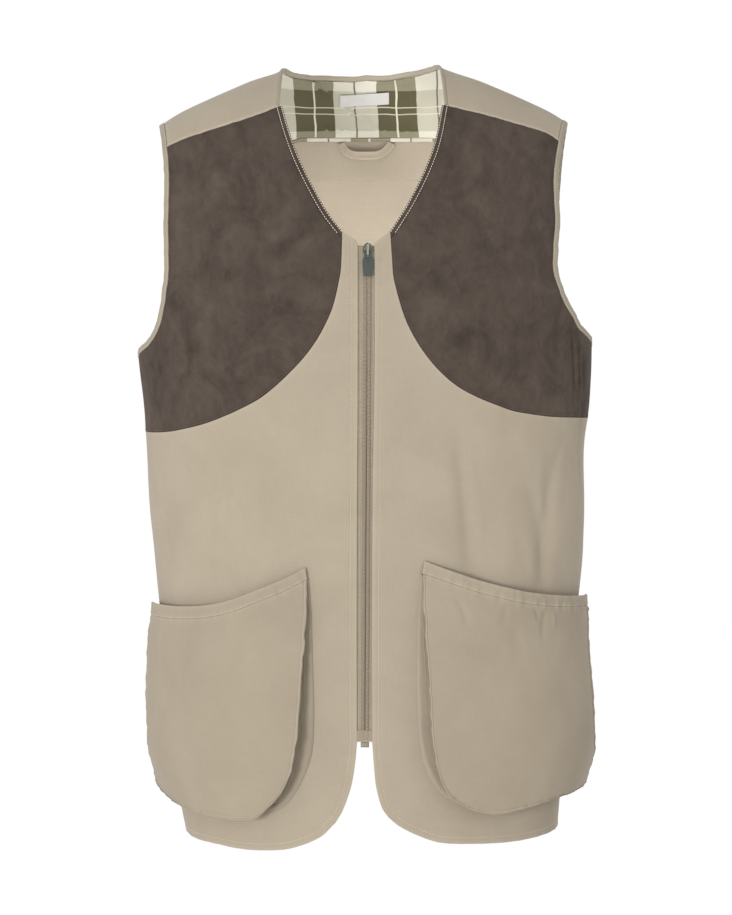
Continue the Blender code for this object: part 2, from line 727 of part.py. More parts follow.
def yoke_grid():
    """Gives the yoke's rows, from the neck edge out to the seams."""
    inner, outer = yoke_sides()
    seams = []
    for side in ("left", "right"):
        spots = [Spot(body_point(*value)[0], value[1]) for value in yoke_seam(side)[::2]]
        seams.append([over_of(spot, True) for spot in spots])
    return coons(inner, outer, *seams)


def build_yoke(finishes):
    """Makes the yoke with the facing, label and hanging loop inside it."""
    rows = sites(yoke_grid(), yoke_site)
    wall("yoke", trimmed(rows), COTTON, finishes["cotton"])
    start, end = FACING_TRIM, len(rows[0]) - FACING_TRIM
    facing = [row[start:end] for row in rows[:FACING_ROWS + 1]]
    facing.append(facing_hem(facing[-1], rows[FACING_ROWS + 1][start:end]))
    wall("neck_facing", trimmed(facing, first=False, last=False), PLAID, finishes["plaid"], FACING_LIFT)
    build_label(finishes)
    build_loop(finishes)


def facing_hem(above, below):
    """Gives the facing's lower edge, which is level behind the neck, between two rows of the yoke."""
    least, most = FACING_REACH
    hem = []
    for first, second in zip(above, below):
        share = (first[0].z - FACING_HEM) / (first[0].z - second[0].z)
        point, normal = blend_sites(first, second, min(most, max(least, share)))
        hem.append((point - normal * FACING_HEM_DROP, normal))
    return hem


def blend_sites(first, second, share):
    """Gives the site part of the way between two."""
    point = first[0].lerp(second[0], share)
    return point, first[1].lerp(second[1], share).normalized()


def build_label(finishes):
    """Makes the bare woven label on the facing, behind the neck."""
    first, last = LABEL_ENDS
    top = straight((first.across, first.top), (last.across, last.top), LABEL_CELLS)
    foot = straight((first.across, first.foot), (last.across, last.foot), LABEL_CELLS)
    middle = [tuple((a + b) / 2 for a, b in zip(p, q)) for p, q in zip(top, foot)]
    rows = [[yoke_site(*over_of(Spot(*value), False)) for value in line] for line in (top, middle, foot)]
    wall("neck_label", rows, LABEL_THICKNESS, finishes["label"], LABEL_LIFT)


class LoopPoint(NamedTuple):
    """A place on the hanging loop: across, down from the facing's hem, and off the back."""
    across: float
    down: float
    off: float


HANG_LOOP = (
    LoopPoint(-26, 1.8, 2.4), LoopPoint(-24.6, 6, 3.4), LoopPoint(-20.5, 11.4, 5.6),
    LoopPoint(-13, 14.6, 7.6), LoopPoint(0, 15.2, 8.2), LoopPoint(12, 14.6, 7.6),
    LoopPoint(19.8, 11, 5.6), LoopPoint(25, 5.4, 3.4), LoopPoint(27, 1.8, 2.4),
)
LOOP_TAPE_WIDTH = 7.0
LOOP_TAPE_THICKNESS = 1.2


def build_loop(finishes):
    """Makes the hanging loop, a slack tape under the facing's lower edge."""
    rows = []
    last = len(HANG_LOOP) - 1
    for k, spot in enumerate(HANG_LOOP):
        before, after = HANG_LOOP[max(k - 1, 0)], HANG_LOOP[min(k + 1, last)]
        along = Vector((after.across - before.across, 0, before.down - after.down)).normalized()
        out = Vector((along.z, 0, -along.x))
        height = FACING_HEM - spot.down
        angle = back_angle(spot.across, height)
        point, normal = body_site(angle, height)
        middle = point - normal * (spot.off + COTTON / 2)
        half = LOOP_TAPE_WIDTH / 2
        rows.append([(middle - out * half, normal), (middle + out * half, normal)])
    wall("hang_loop", rows, LOOP_TAPE_THICKNESS, finishes["cotton"])


def build_bindings(finishes):
    """Makes the bindings round both armholes and the neck."""
    inner, outer = yoke_sides()
    turned = SHOULDER_CELLS + BACK_CELLS
    shoulders = {"left": outer[:SHOULDER_CELLS + 1][::-1], "right": outer[turned:]}
    for side in ("left", "right"):
        body = armhole_front(side)[:-1] + armhole_back(side)[:-1]
        line = [body_site(*value) for value in body]
        line += [yoke_site(*value) for value in shoulders[side]][:-1]
        centre = Vector((sign_of(side) * ARMHOLE_MIDDLE[0], 0, ARMHOLE_MIDDLE[1]))
        profile = binding_profile(BINDING_WIDTH, BINDING_THICKNESS)
        path = edge_path(line, centre, True)
        piping("armhole_binding_" + side, path, profile, finishes["binding"], True)
    line = [yoke_site(*value) for value in inner]
    for end, beside in ((0, 1), (-1, -2)):
        back = (line[beside][0] - line[end][0]).normalized() * NECK_BINDING_SETBACK
        line[end] = line[end][0] + back, line[end][1]
    path = edge_path(line, Vector(NECK_MIDDLE), False)
    profile = binding_profile(NECK_BINDING_WIDTH, BINDING_THICKNESS)
    piping("neck_binding", path, profile, finishes["binding"], False, lean=NECK_BINDING_LEAN)


def pocket_angle(row):
    """Turns a pocket outline row into an angle, a height and its stand-off."""
    return front_angle(row.across, row.height, row.off), row.height, row.off


def pocket_site(angle, height, off):
    """Gives a point of a pocket face with its normal."""
    return body_site(angle, height, off)


def pocket_lines(side):
    """Samples a pocket's four outlines: mouth, stitch line, inner edge, bottom and outer edge."""
    mouth = through([pocket_angle(row) for row in POCKET_MOUTH[side]], POCKET_COLUMNS)
    inner = through([pocket_angle(row) for row in POCKET_INNER[side]], POCKET_ROWS)
    outer = through([pocket_angle(row) for row in POCKET_SIDE[side]], POCKET_ROWS)
    bottom = through([pocket_angle(row) for row in POCKET_BOTTOM[side]], POCKET_COLUMNS)
    drop = straight((inner[0][1] - mouth[0][1],), (outer[0][1] - mouth[-1][1],), POCKET_COLUMNS)
    stitch = [(a, h + d[0], off + POCKET_BAND_SWELL) for (a, h, off), d in zip(mouth, drop)]
    stitch[0], stitch[-1] = inner[0], outer[0]
    return mouth, stitch, inner, bottom, outer


def build_pocket(side, finishes):
    """Makes a bellows pocket: its face, its mouth band and the folded gusset behind."""
    mouth, stitch, inner, bottom, outer = pocket_lines(side)
    face = trimmed(sites(coons(stitch, bottom, inner, outer), pocket_site), bottom=False, first=False,
                   last=False)
    wall("pocket_face_" + side, face, COTTON, finishes["cotton"])
    middle = [tuple((a + b) / 2 for a, b in zip(p, q)) for p, q in zip(mouth, stitch)]
    band = trimmed(sites([mouth, middle, stitch], pocket_site), top=False, first=False, last=False)
    wall("pocket_band_" + side, band, POCKET_BAND_THICKNESS, finishes["cotton"])
    rim = inner + bottom[1:] + outer[::-1][1:]
    base = through(front_spots(POCKET_BASE[side]), len(rim) - 1)
    centre = body_point(sum(value[0] for value in rim) / len(rim), *POCKET_MIDDLE)
    rows = [[], [], []]
    for (angle, height, off), spot in zip(rim, base):
        edge, edge_normal = body_site(angle, height, off)
        foot, foot_normal = body_site(*spot)
        inward = (centre - edge)
        inward = (inward - edge_normal * inward.dot(edge_normal)).normalized()
        top = edge - edge_normal * GUSSET_TOP_DROP + inward * GUSSET_RIM_INSET
        base_point = foot + foot_normal * GUSSET_BASE_LIFT
        depth = GUSSET_TUCK * min(1.0, off / POCKET_DEEP)
        tuck = base_point.lerp(top, GUSSET_TUCK_SHARE) + inward * depth
        rows[0].append(base_point)
        rows[1].append(tuck)
        rows[2].append(top)
    wall("pocket_gusset_" + side, with_normals(rows), COTTON, finishes["cotton"])


def with_normals(rows):
    """Adds normals worked out from the neighbours to a grid of points."""
    height, width = len(rows), len(rows[0])
    grid = []
    for j in range(height):
        line = []
        for i in range(width):
            along = rows[j][min(i + 1, width - 1)] - rows[j][max(i - 1, 0)]
            over = rows[min(j + 1, height - 1)][i] - rows[max(j - 1, 0)][i]
            line.append((rows[j][i], along.cross(over).normalized()))
        grid.append(line)
    return grid


def zip_centre(height):
    """Gives the zip's centre line, which runs slightly aslant."""
    share = (ZIP_HEIGHTS["top"] - height) / (ZIP_HEIGHTS["top"] - ZIP_HEIGHTS["foot"])
    return ZIP_SLANT[0] + (ZIP_SLANT[1] - ZIP_SLANT[0]) * share


def strip_sites(offsets, heights):
    """Gives rows of sites down the centre front at distances from the zip's centre line."""
    rows = []
    for height in heights:
        across = [zip_centre(height) + offset for offset in offsets]
        rows.append([body_site(front_angle(x, height), height) for x in across])
    return rows


def levels(start, end):
    """Gives even levels between two named heights of the zip."""
    run = straight((ZIP_HEIGHTS[start],), (ZIP_HEIGHTS[end],), STRIP_CELLS)
    return [value[0] for value in run]


def build_zip(finishes):
    """Makes the zip's tapes, chain and bottom box."""
    heights = levels("top", "foot")
    half = CHAIN_WIDTH / 2 + SEAM_GAP
    reach = half + TAPE_REACH
    for side, offsets in (("left", (-reach, -reach / 2, -half)), ("right", (half, reach / 2, reach))):
        rows = strip_sites(offsets, heights)
        wall("zip_tape_" + side, rows, TAPE, finishes["zip_tape"], TAPE_SINK)
    heights = levels("chain_top", "chain_foot")
    width = CHAIN_WIDTH / 2
    rows = strip_sites((-width, 0, width), heights)
    wall("zip_chain", rows, CHAIN_THICKNESS, finishes["zip_tape"], TAPE_SINK)
    foot = [ZIP_HEIGHTS["foot"] - drop for drop in BOX_DROPS]
    rows = strip_sites((-BOX_HALF_WIDTH, 0, BOX_HALF_WIDTH), foot)
    wall("zip_box", rows, BOX_THICKNESS, finishes["zip_tape"], TAPE_SINK)


def box(name, low, high):
    """Makes a block between two corners in millimetres."""
    ranges = list(zip(low, high))
    corners = [Vector((x, y, z)) for x in ranges[0] for y in ranges[1] for z in ranges[2]]
    faces = [(0, 1, 3, 2), (4, 6, 7, 5), (0, 4, 5, 1), (2, 3, 7, 6), (0, 2, 6, 4), (1, 5, 7, 3)]
    return solid(name, corners, faces, bpy.data.materials[0], smooth=False)


def settle(item):
    """Replaces an object's mesh by its evaluated form."""
    graph = bpy.context.evaluated_depsgraph_get()
    mesh = bpy.data.meshes.new_from_object(item.evaluated_get(graph))
    item.modifiers.clear()
    item.data = mesh


def combined(item, others, operation):
    """Unites blocks with an object or cuts them from it, and removes them."""
    for other in others:
        step = item.modifiers.new("Combine", "BOOLEAN")
        step.operation = operation
        step.object = other
        bpy.context.view_layer.update()
        settle(item)
        bpy.data.objects.remove(other)
    return item


def plate(name, outline, low, high):
    """Makes a flat plate from an outline in the local X and Z, between two local Y values."""
    count = len(outline)
    points = [Vector((x, y, z)) for y in (low, high) for x, z in outline]
    faces = [tuple(range(count)), tuple(count + i for i in reversed(range(count)))]
    faces += [(i, (i + 1) % count, (i + 1) % count + count, i + count) for i in range(count)]
    return solid(name, points, faces, bpy.data.materials[0], smooth=False)


def mirrored(half):
    """Completes an outline listed from the top centre down one side."""
    return list(half) + [(-x, z) for x, z in reversed(half)]


SLIDER_PLATE = ((2.4, 7.6), (4.4, 5.2), (4.7, 0.5), (3.9, -5.0), (2.6, -6.6))
PULL_PLATE = ((2.9, 0.65), (3.6, -1.2), (3.8, -7.0), (5.0, -9.5), (5.2, -15.0), (4.6, -24.0), (3.9, -26.6))
BRIDGE_WIDTH = 1.1
BRIDGE_GAP = 2.3
BRIDGE_THICKNESS = 1.0
BRIDGE_ENDS = (-5.4, 4.6)
BRIDGE_FEET = (1.8, 2.2)
BITE = (0.2, 0.4)
POST = (1.2, 2.2, 6.6)
POST_BITE = 0.5
WINDOW_PLAY = 0.5
WINDOW_ENDS = (-0.65, -7.6)
WINDOW_DEPTH = 2.0
SLIDER_THICKNESS = 1.1
PULL_THICKNESS = 1.5


def slider_frame():
    """Gives the place of the slider: local Y points into the vest and local Z up the zip."""
    across = zip_centre(SLIDER_HEIGHT)
    point, normal = body_site(front_angle(across, SLIDER_HEIGHT), SLIDER_HEIGHT, 0.0)
    inward = -normal
    inward.x = 0
    inward.normalize()
    up = Vector((0, -inward.z, inward.y))
    if up.z < 0:
        up = -up
    middle = point + inward * -TAPE_SINK
    turn = Matrix((Vector((1, 0, 0)), inward, up)).transposed().to_4x4()
    return turn, middle


def build_slider(finishes):
    """Makes the slider, with its bridge, and the pull tab that swings on it."""
    turn, middle = slider_frame()
    face = -(CHAIN_THICKNESS / 2 + SEAM_GAP)
    outside = face - SLIDER_THICKNESS
    front = plate("zip_slider", mirrored(SLIDER_PLATE), outside, face)
    rear = plate("rear", mirrored(SLIDER_PLATE), -face, -outside)
    half, low, high = POST
    post = box("post", (-half, face - POST_BITE, low), (half, POST_BITE - face, high))
    under = outside - BRIDGE_GAP
    foot, head = BRIDGE_ENDS
    legs = (under - BITE[0], face - BITE[1])
    arch = box("arch", (-BRIDGE_WIDTH, under - BRIDGE_THICKNESS, foot), (BRIDGE_WIDTH, under, head))
    upper = box("upper", (-BRIDGE_WIDTH, legs[0], head - BRIDGE_FEET[1]), (BRIDGE_WIDTH, legs[1], head))
    lower = box("lower", (-BRIDGE_WIDTH, legs[0], foot), (BRIDGE_WIDTH, legs[1], foot + BRIDGE_FEET[0]))
    slider = combined(front, (rear, post, arch, upper, lower), "UNION")
    place(slider, finishes["slider"], turn, middle)
    pivot = outside - BRIDGE_GAP / 2
    tab = plate("zip_pull_tab", mirrored(PULL_PLATE), -PULL_THICKNESS / 2, PULL_THICKNESS / 2)
    side = BRIDGE_WIDTH + WINDOW_PLAY
    outline = mirrored([(side, end) for end in WINDOW_ENDS])
    window = plate("window", outline, -WINDOW_DEPTH, WINDOW_DEPTH)
    combined(tab, (window,), "DIFFERENCE")
    hinge = middle + turn.to_3x3() @ Vector((0, pivot, 0))
    place(tab, finishes["pull_tab"], turn, hinge)


def place(item, material, turn, point):
    """Stands a hard piece in its place, keeping its origin on its own axis."""
    item.data.materials.clear()
    item.data.materials.append(material)
    item.matrix_world = Matrix.Translation(point * MM) @ turn


def make_finishes():
    """Makes the vest's finishes from their colours as seen."""
    return {
        "cotton": finish("tan_cotton", (188, 176, 157), 0.85),
        "suede": finish("brown_suede", (84, 74, 67), 0.95),
        "binding": finish("binding_tape", (186, 179, 165), 0.85),
        "plaid": finish("plaid_cotton", (150, 146, 122), 0.85),
        "label": finish("woven_label", (236, 236, 232), 0.7),
        "zip_tape": finish("zip_tape", (158, 145, 125), 0.7),
        "slider": finish("slider_metal", (111, 111, 92), 0.4, 0.8),
        "pull_tab": finish("pull_tab", (84, 96, 94), 0.5),
    }


def main():
    """Builds the whole vest."""
    for item in list(bpy.data.objects):
        bpy.data.objects.remove(item)
    finishes = make_finishes()
    for side in ("left", "right"):
        build_front(side, finishes)
        build_suede(side, finishes)
        build_pocket(side, finishes)
    build_back(finishes)
    build_yoke(finishes)
    build_bindings(finishes)
    build_zip(finishes)
    build_slider(finishes)


main()
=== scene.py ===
"""Shooting vest, filled out as worn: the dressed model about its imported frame.

The vest's front faces -Y, +X is to the right of the front view and +Z is up.
Tables and shapes are in millimetres from the frame's origin, and meshes are
scaled to metres as they are made. The cloth follows the same body form as the
frame's solids, with creases, seam puckers and stitches added on it.
"""
import logging
import math
from dataclasses import dataclass, field, replace
from enum import Enum
from itertools import product
from typing import Callable, Iterable, NamedTuple, Sequence

import bmesh
import bpy
import numpy as np
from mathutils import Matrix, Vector


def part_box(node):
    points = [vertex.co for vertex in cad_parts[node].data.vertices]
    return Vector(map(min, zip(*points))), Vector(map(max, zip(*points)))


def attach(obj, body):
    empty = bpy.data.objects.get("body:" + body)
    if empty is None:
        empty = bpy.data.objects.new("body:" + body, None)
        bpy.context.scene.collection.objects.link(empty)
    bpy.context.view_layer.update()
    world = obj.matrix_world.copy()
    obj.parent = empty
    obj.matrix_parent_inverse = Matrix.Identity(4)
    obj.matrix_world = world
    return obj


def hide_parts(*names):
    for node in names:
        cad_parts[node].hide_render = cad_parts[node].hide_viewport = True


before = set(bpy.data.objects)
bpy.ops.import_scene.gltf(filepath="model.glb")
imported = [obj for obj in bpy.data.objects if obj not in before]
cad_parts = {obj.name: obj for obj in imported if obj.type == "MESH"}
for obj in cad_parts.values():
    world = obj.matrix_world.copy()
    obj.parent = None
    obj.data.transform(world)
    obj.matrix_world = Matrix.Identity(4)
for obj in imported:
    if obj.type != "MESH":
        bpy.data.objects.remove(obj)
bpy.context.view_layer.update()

LOG = logging.getLogger("shooting_vest")
Array = np.ndarray
Colour = tuple[float, float, float]
Curve = Callable[[Array], Array]
Socket = bpy.types.NodeSocket
Material = bpy.types.Material
Item = bpy.types.Object

MM = 0.001
CLOTH_MAP = "cloth"
EDGE_NAME = "edge"

COTTON = 1.2
SUEDE = 1.6
PLAID = 0.8
TAPE = 0.8
BINDING_WIDTH = 6.4
BINDING_THICKNESS = 2.6
NECK_BINDING_WIDTH = 5.4
V_BAND_WIDTH = 5.6
ROLL_FRONT = 80.0
ROLL_BACK = 75.0
SQUARENESS = 2.4
QUARTER = math.pi / 2
GIRTH_SCALE = 210.0
PROBE = 0.8
ANGLE_PROBE = 0.004
YOKE_SEAM_CELLS = 7
SUEDE_SEAM_CELLS = 14
ARMHOLE_CELLS = 10
SIDE_CELLS = 12
BACK_CELLS = 18
SHOULDER_CELLS = 8
FRONT_COLUMNS = 13
CUTAWAY_CELLS = 7


def rows(kind: type, *numbers: float) -> tuple:
    """Splits a run of numbers into rows."""
    width = len(kind._fields)
    return tuple(kind(*numbers[k:k + width]) for k in range(0, len(numbers), width))


class Spot(NamedTuple):
    """A point of an outline seen from the front or the back."""
    across: float
    height: float


class Section(NamedTuple):
    """A level of the body form: half widths to each side and depths to each face."""
    height: float
    left: float
    right: float
    front: float
    back: float


SECTIONS = rows(Section,
    40, 232, 230, 58, 98, 0, 232, 230, 64, 100, -60, 232, 230, 80, 104, -120, 232, 230, 98, 108,
    -200, 232, 230, 115, 112, -290, 234, 232, 124, 112, -345, 228, 229.5, 124, 108,
    -391, 225, 224, 122, 104, -450, 221.5, 224, 120, 101, -500, 216.5, 222.5, 118, 100,
    -546, 212.5, 218, 117, 102, -620, 205.5, 211, 117, 105, -700, 197, 203, 116, 107,
    -759, 189, 197.5, 114, 108, -800, 180.5, 195, 112, 108)


SHOULDER_LINE = rows(Spot,
    0, 28, 40, 20.5, 60, 11.5, 80, 0.8, 116, -11.2, 142, -21.9, 166, -32.2, 188, -42.4, 203, -51.4,
    232, -71)


class Fold(NamedTuple):
    """A soft upright fold: its place round the body, its ends, width and depth."""
    angle: float
    top: float
    bottom: float
    width: float
    depth: float
    lean: float


FOLDS = rows(Fold,
    24, -350, -560, 15, -3, 2, 52, -370, -570, 13, -3.2, -2, 36, -400, -600, 18, 2, 0,
    -38, -370, -570, 16, -3.2, -2, -24, -420, -600, 18, 1.8, 1, -66, -380, -540, 14, -2.4, 2,
    74, -300, -470, 9, -2.6, 3, -78, -300, -400, 8, -2.2, -2, 148, -330, -660, 20, -4, 4,
    -146, -360, -680, 22, -4.5, -5, 172, -300, -560, 24, 3, 3, -112, -330, -560, 14, -3, 4,
    114, -350, -600, 15, -3, -3)


class Over(NamedTuple):
    """A point of the yoke: across, and along the cloth back over the shoulder line."""
    across: float
    over: float


V_EDGE = {
    "left": rows(Spot,
        -85.3, -42, -76.1, -73.7, -66.6, -98.9, -52.6, -127.7, -38.7, -152.3, -24.1, -171.6),
    "right": rows(Spot,
        77.2, -41.1, 69.7, -79.2, 58.5, -110.3, 42.2, -143.1, 32.6, -159, 24.4, -171.6),
}
V_BAND_END = {"left": Spot(-24.0, -178.8), "right": Spot(24.8, -178.8)}
ZIP_TOP = {
    "left": rows(Spot,
        -8.2, -184.4, -12.4, -179.8),
    "right": rows(Spot,
        8.6, -184.4, 12.6, -180.4),
}
YOKE_SEAM = {
    "left": rows(Spot,
        -115.7, -53.3, -146.3, -62.6, -168, -69.4, -189.1, -76, -202.7, -82),
    "right": rows(Spot,
        116.8, -50, 149.6, -58.6, 177.4, -66, 188.8, -70.4, 196, -75.9),
}
ARMHOLE_FRONT = {
    "left": rows(Spot,
        -202.7, -82, -200.5, -101.3, -199.8, -125.3, -200.4, -155.9, -199.6, -204, -201, -225.3,
        -206.9, -259.6, -212.7, -273.6, -222, -285.9),
    "right": rows(Spot,
        196, -75.9, 190.9, -106.9, 190.5, -131.1, 191.8, -158, 189.4, -189.9, 189.6, -211.3, 200.1, -241,
        209.1, -256.4, 217.8, -270.3),
}
ARMHOLE_BACK = {
    "left": rows(Spot,
        -222, -287, -213, -275, -206, -253, -202, -222, -201, -185, -202, -150, -205, -122),
    "right": rows(Spot,
        218, -276, 208, -262, 200, -240, 196, -212, 194, -180, 195, -148, 198, -118),
}
UNDERARM = {"left": -297.0, "right": -285.0}
SUEDE_SEAM = {
    "left": rows(Spot,
        -24.6, -199, -26.1, -217.1, -36, -255.4, -57, -292.4, -86.1, -323.4, -113.3, -343.9, -156, -362.8,
        -189.1, -371.2, -210, -373.4),
    "right": rows(Spot,
        26.1, -199, 28.5, -222.8, 43, -268.4, 68.1, -306.4, 97.6, -331.4, 141.7, -350.3, 165.2, -355.2,
        191.2, -358),
}
SUEDE_SIDE = {"left": -372.0, "right": -358.2}
ZIP_FOOT = {"left": Spot(-9.0, -685.0), "right": Spot(6.2, -685.0)}
CUTAWAY = {
    "left": rows(Spot,
        -11, -706.2, -15, -729.3, -23.1, -752.5, -30.4, -765.4),
    "right": rows(Spot,
        7.8, -706.2, 10.2, -729.3, 16, -750.4, 22.4, -760),
}
HEM = {
    "left": rows(Spot,
        -30.4, -765.4, -46.5, -780.4, -75, -791.6, -102.6, -794.5, -126.1, -793.8, -148.7, -790.7,
        -174.2, -786.7),
    "right": rows(Spot,
        22.4, -760, 33.5, -769, 52.8, -778.8, 74.3, -785.8, 103.6, -787.7, 138.2, -787.6, 164.6, -785.5,
        185.5, -781.7),
}
HEM_SIDE = {"left": -781.5, "right": -777.5}
BACK_YOKE_SEAM = rows(Spot,
    -205, -122, -120, -110, 0, -106, 116, -108, 198, -118)
BACK_HEM = rows(Spot,
    -150, -699, 0, -692, 150, -699)
BACK_HEM_SIDE = {"left": -706.0, "right": -704.0}

NECK_EDGE = rows(Over,
    -89, -40, -87.6, 0, -84.5, 13, -76, 30, -60, 49, -40, 61.5, -21, 67.5, -4, 69.5, 14, 67.5, 32, 61.5,
    51, 49, 66, 30, 74, 13, 76.3, 0, 79.5, -40)
SHOULDER_EDGE = {
    "left": rows(Over,
        -206.4, -30, -207.8, 0, -207.4, 40, -206, 80),
    "right": rows(Over,
        201, -30, 202.6, 0, 202.4, 40, 199.8, 78),
}


class PocketRow(NamedTuple):
    """A point of a pocket's outline and how far its face stands off the front."""
    across: float
    height: float
    off: float


POCKET_MOUTH = {
    "left": rows(PocketRow,
        -60.5, -509, 3.4, -78, -518.6, 7, -108, -531.3, 10, -137.6, -542.2, 11, -162.2, -547.6, 11,
        -189.3, -549.3, 10, -209.9, -548.3, 8.5, -219, -547.2, 7),
    "right": rows(PocketRow,
        58.7, -502.5, 3.4, 83.1, -511.6, 7.5, 113.3, -521.8, 10.5, 143.7, -530.1, 11.5,
        163.6, -534.4, 11.5, 194.3, -538.2, 10.5, 215, -539.5, 9, 227.9, -539.8, 8),
}
POCKET_INNER = {
    "left": rows(PocketRow,
        -59, -521, 4.2, -58.8, -550, 9, -61.6, -585, 14, -65, -629, 18, -68.6, -679, 20,
        -74.6, -712.2, 20, -83, -732.4, 19.5, -94, -746, 19),
    "right": rows(PocketRow,
        56.2, -515, 4.2, 57.9, -545, 9, 59.9, -578, 14, 62.9, -619.6, 18, 65.4, -664, 20, 67.9, -689, 20,
        73.4, -718, 19.5, 83, -737, 19),
}
POCKET_BOTTOM = {
    "left": rows(PocketRow,
        -94, -746, 19, -109.6, -760.5, 19.5, -125.3, -762.8, 20, -147.7, -761.3, 20.5,
        -168.4, -757.4, 20.5, -185.2, -752.7, 20, -200, -744.5, 19),
    "right": rows(PocketRow,
        83, -737, 19, 101, -749.5, 19.5, 117.1, -754.9, 20, 133.3, -756.4, 21, 153.7, -753.2, 21.5,
        173.3, -748.2, 21.5, 194.4, -742.7, 21, 209, -739.6, 20),
}
POCKET_SIDE = {
    "left": rows(PocketRow,
        -222, -560.4, 9, -223, -592, 16, -224, -626, 22, -224, -657.3, 25, -223, -682, 25.5,
        -221.6, -702.7, 25, -216.5, -725, 22.5, -200, -744.5, 19),
    "right": rows(PocketRow,
        227, -550.1, 9.5, 226.8, -575, 15, 228.4, -605, 20, 232, -653.2, 28, 233.4, -688.3, 31,
        232.4, -711, 30, 225.5, -730, 25.5, 209, -739.6, 20),
}
POCKET_BASE = {
    "left": rows(Spot,
        -57.4, -520, -55.1, -550.8, -53.1, -611, -52.1, -660, -54.1, -694, -61.2, -717, -72.2, -737.6,
        -84, -750.5, -104, -758.5, -128, -759, -152, -755, -170, -746, -181, -732, -187, -712, -192, -690,
        -197, -655, -201.5, -620, -205, -590, -208.4, -562),
    "right": rows(Spot,
        54.6, -514, 53.1, -541, 51.1, -591, 51.1, -640, 53.1, -680, 58.1, -705.7, 68.2, -727.4,
        83.3, -742.5, 104, -750, 128, -751, 154, -747, 174, -739, 188, -726, 194.5, -708, 198.5, -688,
        203.5, -652, 207.5, -616, 211, -584, 214.4, -553),
}
class LoopPoint(NamedTuple):
    """A place on the hanging loop: across, down from the facing's hem, and off the back."""
    across: float
    down: float
    off: float


HANG_LOOP = rows(LoopPoint,
    -26, 1.8, 2.4, -24.6, 6, 3.4, -20.5, 11.4, 5.6, -13, 14.6, 7.6, 0, 15.2, 8.2, 12, 14.6, 7.6,
    19.8, 11, 5.6, 25, 5.4, 3.4, 27, 1.8, 2.4)
LOOP_TAPE_WIDTH = 8.6
LOOP_TAPE_THICKNESS = 1.2


class Side(Enum):
    """A side of the vest as the front view shows it."""
    LEFT = -1
    RIGHT = 1

    @property
    def word(self) -> str:
        """The side's name in tables and node names."""
        return self.name.lower()

    @property
    def turn(self) -> float:
        """The side seam's angle on the front, in radians."""
        return self.value * QUARTER

    @property
    def far_turn(self) -> float:
        """The side seam's angle on the back, counted on from the left side."""
        return -QUARTER if self is Side.LEFT else -3 * QUARTER


class SmoothTable:
    """Smooth curves through the columns of a table whose first column is the place."""

    def __init__(self, rows: Iterable[Sequence[float]]) -> None:
        """Sorts the rows and works out each column's slopes.

        Args:
            rows: The place, then the values there.
        """
        data = np.array(sorted(tuple(row) for row in rows), float)
        self.places, self.values = data[:, 0], data[:, 1:]
        count = np.arange(len(data))
        before, after = np.maximum(count - 1, 0), np.minimum(count + 1, len(data) - 1)
        run = self.places[after] - self.places[before]
        self.slopes = (self.values[after] - self.values[before]) / run[:, None]

    def at(self, place: Array, column: int = 0) -> Array:
        """Reads a column at any places.

        Args:
            place: Where to read, clamped to the table's ends.
            column: Which value after the place.

        Returns:
            The values, in the shape of place.
        """
        place = np.clip(np.asarray(place, float), self.places[0], self.places[-1])
        k = np.clip(np.searchsorted(self.places, place, side="right") - 1, 0, len(self.places) - 2)
        step = self.places[k + 1] - self.places[k]
        t = (place - self.places[k]) / step
        a, b = self.values[k, column], self.values[k + 1, column]
        curve = (2 * t ** 3 - 3 * t * t + 1) * a + (3 * t * t - 2 * t ** 3) * b
        bend = (t ** 3 - 2 * t * t + t) * self.slopes[k, column]
        bend = bend + (t ** 3 - t * t) * self.slopes[k + 1, column]
        return curve + bend * step


class Path:
    """A smooth line through points of any number of values, read by the share of its length."""

    def __init__(self, points: Sequence[Sequence[float]], scale: float = GIRTH_SCALE) -> None:
        """Measures the chords.

        Args:
            points: The line's points.
            scale: What one of the first value counts for beside the second.
        """
        data = np.array(points, float)
        steps = np.diff(data, axis=0)
        places = np.concatenate([[0.0], np.cumsum(np.hypot(steps[:, 0] * scale, steps[:, 1]))])
        self.length = places[-1]
        self.columns = data.shape[1]
        self.table = SmoothTable(np.column_stack([places, data]))

    def __call__(self, share: Array) -> Array:
        """Reads the line's values at shares of its length."""
        place = np.asarray(share) * self.length
        return np.stack([self.table.at(place, column) for column in range(self.columns)], -1)


class Chain:
    """Curves joined end to end, each weighed by its number of cells."""

    def __init__(self, *runs: tuple[Curve, int]) -> None:
        """Keeps the curves and their cells."""
        self.runs = runs
        self.cells = sum(cells for _, cells in runs)

    def __call__(self, share: Array) -> Array:
        """Reads the joined curves.

        Args:
            share: Shares of all the cells.

        Returns:
            The values of whichever curve holds each share.
        """
        place = np.asarray(share, float) * self.cells
        result, start = None, 0
        for curve, cells in self.runs:
            values = curve(np.clip((place - start) / cells, 0, 1))
            if result is None:
                result = values
            else:
                result = np.where((place > start)[..., None], values, result)
            start += cells
        return result

    def reverse(self) -> "Chain":
        """The same curves from the other end."""
        turned = [(lambda share, curve=curve: curve(1 - share), cells) for curve, cells in self.runs[::-1]]
        return Chain(*turned)


def smooth_step(value: Array) -> Array:
    """Rises smoothly from 0 to 1."""
    t = np.clip(value, 0.0, 1.0)
    return t * t * (3 - 2 * t)


def unit(vectors: Array) -> Array:
    """The vectors at length 1."""
    return vectors / np.maximum(np.linalg.norm(vectors, axis=-1, keepdims=True), 1e-9)


